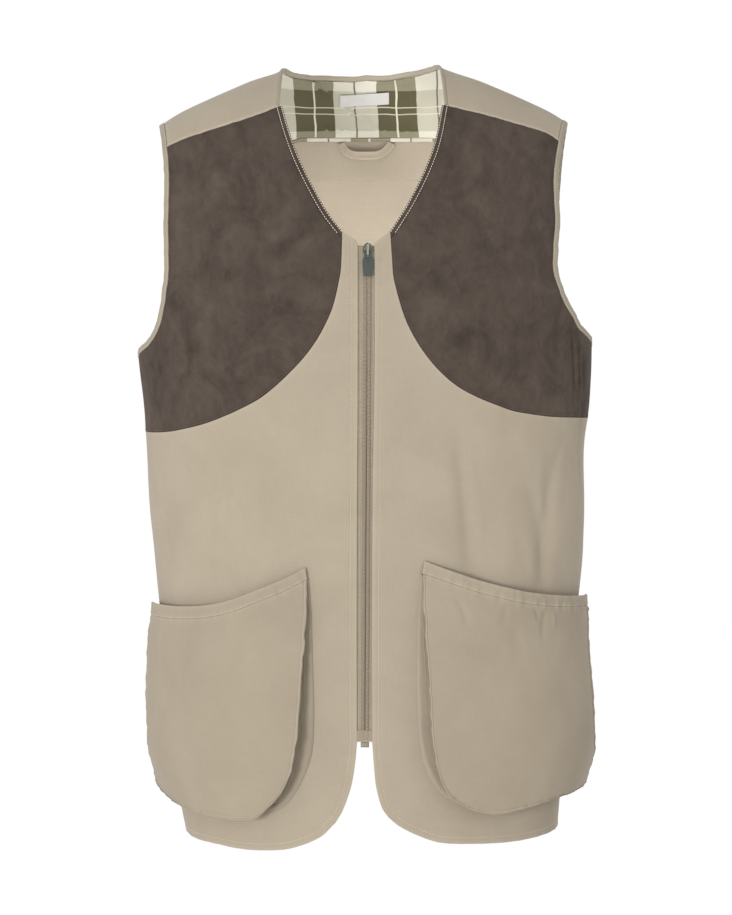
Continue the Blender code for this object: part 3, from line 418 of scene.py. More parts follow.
def coons(top: Curve, bottom: Curve, first: Curve, last: Curve, u: Array, v: Array) -> Array:
    """Fills four sides with a grid of values.

    Args:
        top: The curve along the first row.
        bottom: The curve along the last row.
        first: The curve down the first column.
        last: The curve down the last column.
        u: Shares across.
        v: Shares down.

    Returns:
        Values with a row for each v and a column for each u.
    """
    upper, lower = top(u)[None], bottom(u)[None]
    left, right = first(v)[:, None], last(v)[:, None]
    across, down = u[None, :, None], v[:, None, None]
    sides = (1 - down) * upper + down * lower + (1 - across) * left + across * right
    high, low = top(np.array([0.0, 1.0])), bottom(np.array([0.0, 1.0]))
    ends = (1 - down) * ((1 - across) * high[0] + across * high[1])
    ends = ends + down * ((1 - across) * low[0] + across * low[1])
    return sides - ends


def shares(cells: int, fine: int, length: float, edges: Sequence[float] = (0.25, 0.6, 1.1, 2.0)) -> Array:
    """Spaces grid lines evenly, with extra ones close to both ends for rounded edges.

    Args:
        cells: The number of coarse cells.
        fine: How many lines each coarse cell is split into.
        length: The side's rough length, in millimetres.
        edges: Distances of the extra lines from each end, in millimetres.

    Returns:
        Rising shares from 0 to 1.
    """
    even = np.linspace(0, 1, cells * fine + 1)
    extra = np.array(edges) / length
    inner = even[(even > extra[-1] * 1.2) & (even < 1 - extra[-1] * 1.2)]
    return np.concatenate([[0.0], extra, inner, 1 - extra[::-1], [1.0]])


class Noise:
    """Smooth value noise on a lattice, the same in every run."""

    @staticmethod
    def corner(x: Array, y: Array, z: Array, seed: int) -> Array:
        """A fixed scattered value from -1 to 1 for each corner of the lattice of this seed."""
        mixed = (x * 374761393 + y * 668265263 + z * 974634777 + seed * 362437) & 0xFFFFFFFF
        mixed = ((mixed ^ (mixed >> 13)) * 1274126177) & 0xFFFFFFFF
        return ((mixed ^ (mixed >> 16)) & 0xFFFF) / 32767.5 - 1

    @classmethod
    def at(cls, points: Array, size: float, seed: int) -> Array:
        """Reads the noise.

        Args:
            points: Places, with three values each.
            size: The lattice's spacing in the same unit.
            seed: Which set of values.

        Returns:
            A value from about -1 to 1 for each point.
        """
        scaled = points / size + 1000.0
        base = np.floor(scaled).astype(np.int64)
        part = scaled - base
        part = part * part * (3 - 2 * part)
        total = np.zeros(points.shape[:-1])
        for steps in product((0, 1), repeat=3):
            across, forward, up = (part[..., k] if step else 1 - part[..., k] for k, step in enumerate(steps))
            corner = cls.corner(*(base[..., k] + step for k, step in enumerate(steps)), seed)
            total = total + across * forward * up * corner
        return total


def nearest(points: Array, line: Array) -> tuple[Array, Array]:
    """Measures points from a line of straight pieces.

    Args:
        points: Places, with three values each.
        line: The line's points.

    Returns:
        The distance to the line, and how far along it the nearest place is.
    """
    best = np.full(points.shape[:-1], 1e9)
    along = np.zeros(points.shape[:-1])
    travelled = 0.0
    for start, end in zip(line, line[1:]):
        run = end - start
        length = float(np.linalg.norm(run)) or 1e-9
        t = np.clip(((points - start) @ run) / length ** 2, 0, 1)
        gap = np.linalg.norm(points - start - t[..., None] * run, axis=-1)
        closer = gap < best
        best = np.where(closer, gap, best)
        along = np.where(closer, travelled + t * length, along)
        travelled += length
    return best, along


class Crease(NamedTuple):
    """A crease as seen from the front or back: its two ends, bow, width and height."""
    across: float
    height: float
    to_across: float
    to_height: float
    bow: float
    width: float
    rise: float


@dataclass
class Ruck:
    """A line about which the cloth lifts or sinks: a crease, a groove below pitch 0 or puckers above it."""
    line: Array
    width: float
    rise: float
    pitch: float = 0.0
    seed: int = 0

    def at(self, points: Array) -> Array:
        """Gives how far the cloth lifts.

        Args:
            points: Places on it.

        Returns:
            The lift at each.
        """
        reach = self.width * 2.6
        low, high = self.line.min(0) - reach, self.line.max(0) + reach
        near = np.all((points > low) & (points < high), axis=-1)
        lift = np.zeros(points.shape[:-1])
        if not near.any():
            return lift
        gap, along = nearest(points[near], self.line)
        total = float(np.linalg.norm(np.diff(self.line, axis=0), axis=1).sum())
        body = self.rise * np.exp(-(gap / self.width) ** 2)
        if self.pitch < 0:
            lift[near] = body
        elif self.pitch:
            phase = along / self.pitch
            wave = np.zeros_like(phase)
            for k, (pace, weight) in enumerate(((1.0, 0.5), (0.61, 0.7), (1.73, 0.35), (0.23, 0.5))):
                wave = wave + weight * np.sin(2 * math.pi * (phase * pace + self.seed * 0.37 + k * 0.29))
            lift[near] = body * wave
        else:
            ends = smooth_step(along / total / 0.3) * smooth_step((1 - along / total) / 0.3)
            lift[near] = body * ends
        return lift


@dataclass
class Drape:
    """How the cloth lies off its smooth form: soft waves, creases and seam puckers."""
    rucks: list[Ruck] = field(default_factory=list)
    broad: float = 0.55
    small: float = 0.16
    broad_size: float = 62.0
    small_size: float = 17.0
    seed: int = 3

    def at(self, points: Array) -> Array:
        """How far the cloth lifts off places of the smooth form, in millimetres."""
        lift = self.broad * Noise.at(points, self.broad_size, self.seed)
        lift = lift + self.small * Noise.at(points, self.small_size, self.seed + 1)
        return sum((ruck.at(points) for ruck in self.rucks), lift)


class BodyForm:
    """The hollow form of the vest: a body below and a yoke over the shoulders."""

    def __init__(self) -> None:
        """Reads the tables."""
        self.sections = SmoothTable(SECTIONS)
        self.ridge = SmoothTable(SHOULDER_LINE)
        self.drape = Drape()

    def half_width(self, side: Array, height: Array) -> Array:
        """The form's half width on one side at a level."""
        return np.where(np.asarray(side) < 0, self.sections.at(height, 0), self.sections.at(height, 1))

    def ridge_height(self, across: Array) -> Array:
        """The height of the shoulder line over a point."""
        return self.ridge.at(np.abs(across))

    def fold_rise(self, angle: Array, height: Array) -> Array:
        """Gives how far the soft upright folds push the cloth out.

        Args:
            angle: Turns round the body.
            height: Levels.

        Returns:
            The lift at each.
        """
        rise = np.zeros(np.broadcast(angle, height).shape)
        turn = np.degrees(angle)
        for fold in FOLDS:
            travel = 2 * (fold.top - height) / (fold.top - fold.bottom) - 1
            off = (turn - fold.angle - fold.lean * travel + 180) % 360 - 180
            aside = np.radians(off) * GIRTH_SCALE / fold.width
            near = (np.abs(aside) < 3) & (fold.bottom < height) & (height < fold.top)
            fade = smooth_step((fold.top - height) / 70) * smooth_step((height - fold.bottom) / 90)
            rise = rise + np.where(near, fold.depth * np.exp(-aside * aside) * fade, 0.0)
        return rise

    def point(self, angle: Array, height: Array, off: Array = 0.0) -> Array:
        """Gives points of the body.

        Args:
            angle: Turns round the body: 0 is the centre front and -90 degrees the left side.
            height: Levels.
            off: How far outside the form.

        Returns:
            The points.
        """
        sine, cosine = np.sin(angle), np.cos(angle)
        across = np.copysign(np.abs(sine) ** (2 / SQUARENESS), sine)
        forward = np.abs(cosine) ** (2 / SQUARENESS)
        is_front = cosine >= 0
        x = across * (self.half_width(sine, height) + off)
        depth = np.where(is_front, self.sections.at(height, 2), self.sections.at(height, 3)) + off
        roll = np.where(is_front, ROLL_FRONT, ROLL_BACK)
        drop = np.maximum(0.0, self.ridge_height(x) - height)
        shorten = np.sqrt(np.clip(1 - (1 - np.minimum(drop / roll, 1.0)) ** 2, 0, 1))
        y = depth * forward * shorten
        rise = self.fold_rise(angle, height)
        return np.stack([x + rise * sine, np.where(is_front, -y, y) - rise * cosine,
            np.broadcast_to(height, x.shape)], -1)

    def yoke_point(self, across: Array, over: Array) -> Array:
        """Gives points of the shoulders.

        Args:
            across: Distances from the centre line.
            over: Distances along the cloth, negative in front of the shoulder line.

        Returns:
            The points.
        """
        roll = np.where(over < 0, ROLL_FRONT, ROLL_BACK)
        travel = np.abs(over)
        turn = np.minimum(travel / roll, QUARTER)
        drop = roll * (1 - np.cos(turn)) + np.maximum(0.0, travel - roll * QUARTER)
        height = self.ridge_height(across) - drop
        depth = np.where(over < 0, self.sections.at(height, 2), self.sections.at(height, 3))
        share = np.minimum(1.0, np.abs(across) / self.half_width(across, height))
        sine = share ** (SQUARENESS / 2)
        forward = np.sqrt(np.maximum(0.0, 1 - sine * sine)) ** (2 / SQUARENESS)
        y = depth * forward * np.sin(turn)
        return np.stack([np.broadcast_to(across, y.shape), np.where(over < 0, -y, y), height], -1)

    def sites(self, values: Array, yoke: bool = False) -> tuple[Array, Array]:
        """Gives points and normals of the body or the yoke.

        Args:
            values: Angle, height and perhaps how far off the form, or across and over for the yoke.
            yoke: Whether they are places of the yoke.

        Returns:
            The points and the outward normals, without the drape.
        """
        first, second, *off = np.moveaxis(values, -1, 0)
        place, step = (self.yoke_point, PROBE) if yoke else (self.point, ANGLE_PROBE)
        along = place(first + step, second, *off) - place(first - step, second, *off)
        down = place(first, second - PROBE, *off) - place(first, second + PROBE, *off)
        return place(first, second, *off), unit(np.cross(down, along))

    def front_angle(self, across: Array, height: Array, off: Array = 0.0) -> Array:
        """The angle of a point of the front seen at a distance across."""
        share = np.minimum(1.0, np.abs(across) / (self.half_width(across, height) + off))
        return np.copysign(np.arcsin(share ** (SQUARENESS / 2)), across)

    def over_of(self, across: Array, height: Array, is_front: bool) -> Array:
        """Gives a point's place on the yoke.

        Args:
            across: Distances from the centre line.
            height: Levels.
            is_front: Whether it lies in front of the shoulder line.

        Returns:
            Across and over.
        """
        roll = ROLL_FRONT if is_front else ROLL_BACK
        drop = self.ridge_height(across) - height
        turned = np.clip(drop, 0, roll)
        over = roll * np.arccos(1 - turned / roll) + (drop - turned)
        return np.stack([np.broadcast_to(across, over.shape), -over if is_front else over], -1)

    def front_spots(self, spots: Sequence[Spot]) -> list[tuple[float, float]]:
        """Front outline points as angles and heights."""
        return [(float(self.front_angle(spot.across, spot.height)), spot.height) for spot in spots]

    def back_spots(self, spots: Sequence[Spot]) -> list[tuple[float, float]]:
        """Back outline points as angles and heights, counted on from the left side."""
        return [(-math.pi - angle, height) for angle, height in self.front_spots(spots)]

    def crease_line(self, crease: Crease, is_front: bool, off: float = 0.0) -> Array:
        """Lays a crease's line on the form.

        Args:
            crease: The crease as seen.
            is_front: Whether it lies on the front.
            off: How far outside the form the cloth is.

        Returns:
            Points along the line.
        """
        t = np.linspace(0, 1, 9)
        across = crease.across + (crease.to_across - crease.across) * t
        height = crease.height + (crease.to_height - crease.height) * t
        run = Vector((crease.to_across - crease.across, crease.to_height - crease.height)).normalized()
        swing = crease.bow * np.sin(math.pi * t)
        across, height = across - run.y * swing, height + run.x * swing
        angle = self.front_angle(across, height, off)
        return self.point(angle if is_front else -math.pi - angle, height, off)


class Outlines:
    """The edges and seams of the vest's pieces, as curves of angle and height or across and over."""

    def __init__(self, form: BodyForm) -> None:
        """Keeps the form that the lines lie on."""
        self.form = form

    @staticmethod
    def side_moved(spots: Sequence[Spot], width: float) -> list[Spot]:
        """Moves an outline sideways, away from the centre line.

        Args:
            spots: The outline.
            width: How far.

        Returns:
            The moved outline.
        """
        line = np.array(spots)
        along = unit(np.vstack([line[1:], line[-1:]]) - np.vstack([line[:1], line[:-1]]))
        out = along[:, ::-1] * np.array([-1.0, 1.0])
        return [Spot(*spot) for spot in line + out * np.where(out[:, :1] * line[:, :1] < 0, -width, width)]

    def front(self, *spots: Spot) -> Path:
        """A line through points of the front."""
        return Path(self.form.front_spots(spots))

    def v_seam(self, side: Side) -> Path:
        """The seam between the neck band and the suede, from the yoke down."""
        return self.front(*self.side_moved(V_EDGE[side.word], V_BAND_WIDTH)[:-1], V_BAND_END[side.word])

    def v_edge(self, side: Side) -> Path:
        """The neck band's free edge, from the yoke down."""
        return self.front(*V_EDGE[side.word])

    def yoke_seam(self, side: Side) -> Path:
        """The front yoke seam, from the neck out."""
        return self.front(self.side_moved(V_EDGE[side.word], V_BAND_WIDTH)[0], *YOKE_SEAM[side.word])

    def suede_seam(self, side: Side) -> Path:
        """The seam under the suede, from the zip strip out to the side."""
        spots = self.form.front_spots((V_BAND_END[side.word], *SUEDE_SEAM[side.word]))
        return Path(spots + [(side.turn, SUEDE_SIDE[side.word])])

    def armhole_front(self, side: Side) -> Path:
        """The front armhole, from the yoke down to the side seam."""
        spots = self.form.front_spots(ARMHOLE_FRONT[side.word])
        return Path(spots + [(side.turn, UNDERARM[side.word])])

    def armhole_back(self, side: Side) -> Path:
        """The back armhole, from the side seam up to the yoke."""
        return Path([(side.far_turn, UNDERARM[side.word])] + self.form.back_spots(ARMHOLE_BACK[side.word]))

    def side_run(self, side: Side) -> Path:
        """The side seam below the suede, down to the front's hem."""
        return Path([(side.turn, SUEDE_SIDE[side.word]), (side.turn, HEM_SIDE[side.word])])

    def zip_edge(self, side: Side) -> Path:
        """The front's edge beside the zip."""
        top, foot = ZIP_TOP[side.word][0], ZIP_FOOT[side.word]
        return self.front(top, Spot(top.across, -300), Spot(foot.across, -500), foot)

    def cutaway(self, side: Side) -> Path:
        """The front's rounded edge below the zip."""
        return self.front(ZIP_FOOT[side.word], *CUTAWAY[side.word])

    def hem(self, side: Side) -> Path:
        """The front's hem, out to the side."""
        return Path(self.form.front_spots(HEM[side.word]) + [(side.turn, HEM_SIDE[side.word])])

    def back_yoke_seam(self) -> Path:
        """The seam under the yoke at the back, from the left side across."""
        return Path(self.form.back_spots(BACK_YOKE_SEAM))

    def back_hem(self) -> Path:
        """The back's hem."""
        ends = [(Side.LEFT.far_turn, BACK_HEM_SIDE["left"]), *self.form.back_spots(BACK_HEM),
            (Side.RIGHT.far_turn, BACK_HEM_SIDE["right"])]
        return Path(ends)

    def as_yoke(self, curve: Curve, is_front: bool) -> Curve:
        """Reads a curve of the body in the yoke's values.

        Args:
            curve: A curve of angle and height.
            is_front: Whether it lies in front of the shoulder line.

        Returns:
            The same curve as across and over.
        """
        def read(share: Array) -> Array:
            """The curve's values on the yoke."""
            values = curve(share)
            across = self.form.point(values[..., 0], values[..., 1])[..., 0]
            return self.form.over_of(across, values[..., 1], is_front)
        return read

    def yoke_outer(self) -> Chain:
        """The yoke's outer edge, from the left front seam round to the right."""
        left, right = (self.form.over_of(*np.array(YOKE_SEAM[side.word][-1]), True) for side in Side)
        first, last = (self.form.over_of(*np.array(BACK_YOKE_SEAM[k]), False) for k in (0, -1))
        left = Path([left, *SHOULDER_EDGE["left"], first], 1.0)
        right = Path([last, *SHOULDER_EDGE["right"][::-1], right], 1.0)
        middle = self.as_yoke(self.back_yoke_seam(), False)
        return Chain((left, SHOULDER_CELLS), (middle, BACK_CELLS), (right, SHOULDER_CELLS))

    def yoke_inner(self) -> Chain:
        """The yoke's neck edge, from the left front seam round to the right."""
        starts = [self.side_moved(V_EDGE[side.word], V_BAND_WIDTH)[0] for side in Side]
        left, right = (self.form.over_of(*np.array(spot), True) for spot in starts)
        left, right = Path((left, *NECK_EDGE[:2]), 1.0), Path((*NECK_EDGE[-2:], right), 1.0)
        cells = SHOULDER_CELLS - 3
        return Chain((left, cells), (Path(NECK_EDGE[1:-1], 1.0), BACK_CELLS + 6), (right, cells))


class Wire:
    """A number in a material's nodes, so that sums of them are written as plain expressions."""

    def __init__(self, bench: "Bench", socket: Socket) -> None:
        """Keeps the socket and the bench that it belongs to."""
        self.bench, self.socket = bench, socket

    def __add__(self, other: "Wire | float") -> "Wire":
        """This number plus another."""
        return self.bench.maths("ADD", self, other)

    def __sub__(self, other: "Wire | float") -> "Wire":
        """This number less another."""
        return self.bench.maths("SUBTRACT", self, other)

    def __rsub__(self, other: float) -> "Wire":
        """Another number less this."""
        return self.bench.maths("SUBTRACT", other, self)

    def __mul__(self, other: "Wire | float") -> "Wire":
        """This number times another."""
        return self.bench.maths("MULTIPLY", self, other)

    def __truediv__(self, other: "Wire | float") -> "Wire":
        """This number over another."""
        return self.bench.maths("DIVIDE", self, other)

    def sine(self) -> "Wire":
        """The sine of this number."""
        return self.bench.maths("SINE", self)

    def within(self, other: float) -> "Wire":
        """What is left of this number over whole multiples of another."""
        return self.bench.maths("WRAP", self, other, 0.0)

    def band(self, low: float, high: float, soft: float) -> "Wire":
        """Gives 1 between two values and 0 outside them, with edges as wide as soft."""
        return ((self - low) / soft + 0.5).clamped() * ((high - self) / soft + 0.5).clamped()

    def clamped(self) -> "Wire":
        """This number held from 0 to 1."""
        return Wire(self.bench, self.bench.node("ShaderNodeClamp", {}, {"Value": self}).outputs[0])


class Bench:
    """Makes one material's nodes."""

    def __init__(self, name: str) -> None:
        """Makes a material of this name with its shader."""
        self.material = bpy.data.materials.new(name)
        self.material.use_nodes = True
        self.tree = self.material.node_tree
        self.shader = self.tree.nodes["Principled BSDF"]

    def node(self, kind: str, settings: dict, sockets: dict) -> bpy.types.Node:
        """Makes any node.

        Args:
            kind: The node's type.
            settings: Its own settings.
            sockets: Values or links, by the socket's name or number.

        Returns:
            The node.
        """
        node = self.tree.nodes.new(kind)
        for name, value in settings.items():
            setattr(node, name, value)
        for key, value in sockets.items():
            self.feed(node.inputs[key], value)
        return node

    def feed(self, socket: Socket, value: object) -> None:
        """Links a socket or sets its value.

        Args:
            socket: The input.
            value: A wire, an output socket or a plain value.
        """
        if isinstance(value, Wire):
            self.tree.links.new(value.socket, socket)
        elif isinstance(value, Socket):
            self.tree.links.new(value, socket)
        else:
            socket.default_value = value

    def maths(self, operation: str, *values: "Wire | float") -> Wire:
        """A Math node of any numbers."""
        node = self.node("ShaderNodeMath", {"operation": operation}, dict(enumerate(values)))
        return Wire(self, node.outputs[0])

    def place(self) -> tuple[Socket, Wire, Wire]:
        """The place on the flat cloth, in metres, as a vector and its two parts."""
        spot = self.node("ShaderNodeUVMap", {"uv_map": CLOTH_MAP}, {}).outputs[0]
        parts = self.node("ShaderNodeSeparateXYZ", {}, {0: spot}).outputs
        return spot, Wire(self, parts[0]), Wire(self, parts[1])

    def edge(self) -> Wire:
        """How close the surface is to an edge, from 0 to 1."""
        return Wire(self, self.node("ShaderNodeAttribute", {"attribute_name": EDGE_NAME}, {}).outputs["Fac"])

    def stretched(self, spot: object, scale: Sequence[float]) -> Socket:
        """A vector scaled along each axis."""
        return self.node("ShaderNodeVectorMath", {"operation": "MULTIPLY"}, {0: spot, 1: scale}).outputs[0]

    def noise(self, spot: object, scale: float, detail: float = 2.0, rough: float = 0.5,
            twist: float = 0.0) -> Wire:
        """A noise of about 0 to 1: its fineness, finer layers and their strength, and distortion."""
        sockets = {"Vector": spot, "Scale": scale, "Detail": detail, "Roughness": rough, "Distortion": twist}
        return Wire(self, self.node("ShaderNodeTexNoise", {}, sockets).outputs[0])

    def mix(self, factor: "Wire | float", first: object, second: object) -> Socket:
        """A mix of two colours, which are sockets or colours as seen, by the share of the second."""
        first, second = (linear(c) if isinstance(c, tuple) else c for c in (first, second))
        return self.node("ShaderNodeMix", {"data_type": "RGBA"}, {0: factor, 6: first, 7: second}).outputs[2]

    def relief(self, height: Wire, distance: float) -> None:
        """Gives the shader a bump."""
        sockets = {"Strength": 1.0, "Distance": distance, "Height": height}
        self.feed(self.shader.inputs["Normal"], self.node("ShaderNodeBump", {}, sockets).outputs[0])

    def surface(self, colour: object, roughness: object, **constants: float) -> Material:
        """Sets the shader.

        Args:
            colour: The base colour's socket or value.
            roughness: The roughness.
            constants: Values of the shader's own sockets, with words joined by underscores.

        Returns:
            The material.
        """
        self.feed(self.shader.inputs["Base Color"], colour)
        self.feed(self.shader.inputs["Roughness"], roughness)
        for name, value in constants.items():
            self.shader.inputs[name.replace("_", " ")].default_value = value
        return self.material


def linear(colour: Colour) -> tuple[float, float, float, float]:
    """A colour as seen, from 0 to 255, for a shader's socket."""
    parts = [c / 255 for c in colour]
    return (*[p / 12.92 if p < 0.04045 else ((p + 0.055) / 1.055) ** 2.4 for p in parts], 1.0)


@dataclass(frozen=True)
class WovenFinish:
    """Plain-woven cloth: fine threads, slubs, soft clouds and edges paled by use."""
    name: str
    deep: Colour
    pale: Colour
    edge_colour: Colour
    pitch: float = 0.00062
    relief: float = 0.00008
    nap: float = 0.12
    roughness: float = 0.9
    rib: float = 0.0

    def make(self) -> Material:
        """Makes the material.

        Returns:
            The cloth.
        """
        bench = Bench(self.name)
        spot, u, v = bench.place()
        pace = math.pi / self.pitch
        weave = (u * pace).sine() * (v * pace).sine()
        slub = bench.noise(bench.stretched(spot, (900, 60, 1)), 1.0, 1.0)
        slub = slub + bench.noise(bench.stretched(spot, (60, 900, 1)), 1.0, 1.0)
        cloud = bench.noise(spot, 14.0, 4.0, 0.55, 0.4)
        grain = bench.noise(spot, 1500.0, 2.0, 0.6)
        tone = (cloud - 0.5) * 1.1 + (slub - 1.0) * 0.35 + (grain - 0.5) * 0.35 + weave * 0.05 + 0.5
        colour = bench.mix(tone.clamped(), self.deep, self.pale)
        colour = bench.mix(bench.edge() * 0.45, colour, self.edge_colour)
        height = weave * 0.5 + grain * 0.6 + slub * 0.25
        if self.rib:
            height = height + (v * (2 * math.pi / self.rib)).sine() * 1.2
        bench.relief(height, self.relief)
        return bench.surface(colour, self.roughness, Sheen_Weight=self.nap, Sheen_Roughness=0.5,
            Specular_IOR_Level=0.25)


@dataclass(frozen=True)
class SuedeFinish:
    """Brushed suede: a short nap that lies light and dark in clouds and strokes."""
    name: str
    deep: Colour
    pale: Colour
    edge_colour: Colour

    def make(self) -> Material:
        """Makes the material.

        Returns:
            The suede.
        """
        bench = Bench(self.name)
        spot, _, _ = bench.place()
        cloud = bench.noise(spot, 17.0, 5.0, 0.62, 1.1)
        patch = bench.noise(bench.stretched(spot, (1.0, 0.75, 1.0)), 46.0, 3.0, 0.6, 0.7)
        stroke = bench.noise(bench.stretched(spot, (1.0, 0.55, 1.0)), 190.0, 3.0, 0.65, 0.8)
        fibre = bench.noise(spot, 2600.0, 2.0, 0.7)
        tone = (cloud - 0.5) * 1.05 + (patch - 0.5) * 0.75 + (stroke - 0.5) * 0.35 + (fibre - 0.5) * 0.4 + 0.5
        colour = bench.mix(tone.clamped(), self.deep, self.pale)
        # The suede turns darker towards its edges.
        colour = bench.mix(bench.edge() * 0.5, colour, self.edge_colour)
        bench.relief(fibre + stroke * 0.6 + patch * 0.5, 0.0002)
        return bench.surface(colour, 0.95, Sheen_Weight=0.12, Sheen_Roughness=0.6, Specular_IOR_Level=0.1,
            Sheen_Tint=linear((190, 175, 165)))


class Stripe(NamedTuple):
    """A stripe of a plaid: its two edges, in metres."""
    low: float
    high: float


@dataclass(frozen=True)
class PlaidFinish:
    """Shirting plaid: broad olive bars on cream, crossed by thin pale and dark lines."""
    name: str
    both_light: Colour = (190, 186, 172)
    warp_dark: Colour = (118, 114, 92)
    weft_dark: Colour = (166, 162, 146)
    both_dark: Colour = (68, 63, 40)
    cream_line: Colour = (192, 189, 172)
    dark_line: Colour = (74, 69, 52)
    repeat: float = 0.0873
    warp: Stripe = Stripe(-0.0762, -0.0340)
    weft: Stripe = Stripe(0.0126, 0.0543)
    warp_line: float = -0.0552
    dark_warp_line: float = -0.0118
    weft_lines: tuple[float, float] = (0.0294, 0.0363)
    lean: float = -0.062
    pivot: float = 0.02

    def bar(self, place: Wire, stripe: Stripe, soft: float = 0.0004) -> Wire:
        """A bar that comes again at each repeat."""
        return (place - stripe.low).within(self.repeat).band(0.0, stripe.high - stripe.low, soft)

    def line(self, place: Wire, centre: float, width: float) -> Wire:
        """A thin line that comes again at each repeat."""
        moved = (place - centre + self.repeat / 2).within(self.repeat)
        return moved.band(self.repeat / 2 - width / 2, self.repeat / 2 + width / 2, 0.0004)

    def make(self) -> Material:
        """Makes the material.

        Returns:
            The plaid cloth.
        """
        bench = Bench(self.name)
        spot, u, v = bench.place()
        waver = (bench.noise(spot, 42.0, 2.0) - 0.5) * 0.0035
        across = u + (v - self.pivot) * self.lean + waver
        down = v + waver * 0.6
        warp, weft = self.bar(across, self.warp), self.bar(down, self.weft)
        light = bench.mix(weft, self.both_light, self.weft_dark)
        dark = bench.mix(weft, self.warp_dark, self.both_dark)
        colour = bench.mix(warp, light, dark)
        colour = bench.mix(self.line(across, self.dark_warp_line, 0.0017) * 0.9, colour, self.dark_line)
        for centre in self.weft_lines:
            colour = bench.mix(self.line(down, centre, 0.0010) * 0.8, colour, self.cream_line)
        colour = bench.mix(self.line(across, self.warp_line, 0.0019) * 0.95, colour, self.cream_line)
        pace = math.pi / 0.0004
        weave = (u * pace).sine() * (v * pace).sine()
        grain = bench.noise(spot, 1900.0, 2.0, 0.6)
        shade = bench.noise(spot, 22.0, 3.0)
        colour = bench.mix(((shade - 0.5) * 0.5 + (grain - 0.5) * 0.4 + 0.12).clamped(), colour, (98, 93, 75))
        bench.relief(weave * 0.5 + grain, 0.00006)
        return bench.surface(colour, 0.85, Sheen_Weight=0.1, Specular_IOR_Level=0.3)


@dataclass(frozen=True)
class HardFinish:
    """A hard trim: painted metal or moulded plastic, paler along its sharp edges: partly scuffs from use,
    partly a painted highlight.
    """
    name: str
    body: Colour
    worn_and_highlit: Colour
    metallic: float
    roughness: float
    wear_and_highlight: float = 0.5

    def make(self) -> Material:
        """Makes the material.

        Returns:
            The finish.
        """
        bench = Bench(self.name)
        spot = bench.node("ShaderNodeTexCoord", {}, {}).outputs["Object"]
        scuff = bench.noise(spot, 900.0, 4.0, 0.65, 0.5)
        patch = bench.noise(spot, 260.0, 3.0)
        # Sharp convex edges turn pale: partly scuffed paint, partly a painted highlight.
        sharp = Wire(bench, bench.node("ShaderNodeNewGeometry", {}, {}).outputs["Pointiness"])
        rim = ((sharp - 0.5) * 9.0).clamped() * self.wear_and_highlight
        colour = bench.mix((rim + (scuff - 0.55) * self.wear_and_highlight).clamped(), self.body, self.worn_and_highlit)
        bench.relief(scuff * 0.6 + patch, 0.00004)
        rough = (patch - 0.5) * 0.25 + self.roughness
        return bench.surface(colour, rough, Metallic=self.metallic)


@dataclass(frozen=True)
class PlainFinish:
    """A plain pale surface for the studio, faintly uneven."""
    name: str
    colour: Colour
    roughness: float = 0.9

    def make(self) -> Material:
        """Makes the material.

        Returns:
            The surface.
        """
        bench = Bench(self.name)
        spot = bench.node("ShaderNodeTexCoord", {}, {}).outputs["Object"]
        tone = bench.noise(spot, 3.0, 3.0) * 0.08
        darker = tuple(c * 0.93 for c in self.colour)
        return bench.surface(bench.mix(tone, self.colour, darker), self.roughness)


class Finishes:
    """All the vest's materials."""

    def __init__(self) -> None:
        """Makes each material once."""
        self.cotton = WovenFinish("tan_cotton", (141, 130, 113), (157, 146, 129), (168, 158, 141)).make()
        # The pocket cotton is the fronts' cotton made slightly darker all over: painted shade.
        self.pocket = WovenFinish("pocket_cotton_painted_shade", (135, 124, 107), (150, 139, 122), (163, 153, 136)).make()
        self.suede = SuedeFinish("brown_suede", (44, 37, 33), (85, 75, 67), (46, 38, 34)).make()
        self.binding = WovenFinish("binding_tape", (134, 125, 109), (149, 140, 124), (157, 149, 134),
            pitch=0.0005).make()
        self.plaid = PlaidFinish("plaid_cotton").make()
        self.label = WovenFinish("woven_label", (166, 164, 160), (178, 175, 171), (182, 179, 175),
            pitch=0.0003, relief=0.00003, nap=0.0, roughness=0.6).make()
        self.tape = WovenFinish("zip_tape", (130, 118, 100), (151, 139, 121), (149, 138, 122), pitch=0.0005,
            relief=0.00012, rib=0.00135).make()
        self.teeth = HardFinish("zip_teeth", (122, 110, 93), (166, 156, 136), 0.0, 0.5, 0.4).make()
        # The slider metal's pale edge colour is partly scuffing and partly a painted highlight, on its edges
        # and its crown ring.
        self.metal = HardFinish("slider_metal", (38, 42, 32), (176, 178, 158), 0.7, 0.3, 0.8).make()
        self.pull = HardFinish("pull_plastic", (36, 44, 42), (78, 86, 82), 0.0, 0.6, 0.35).make()
        threads = (("sewing_thread", (184, 173, 154), (198, 188, 169)),
            ("dark_thread", (92, 80, 70), (112, 98, 86)), ("pale_thread", (208, 196, 178), (222, 210, 192)))
        self.thread, self.dark_thread, self.pale_thread = (
            WovenFinish(name, deep, pale, pale, pitch=0.0003, nap=0.0, roughness=0.6).make()
            for name, deep, pale in threads)


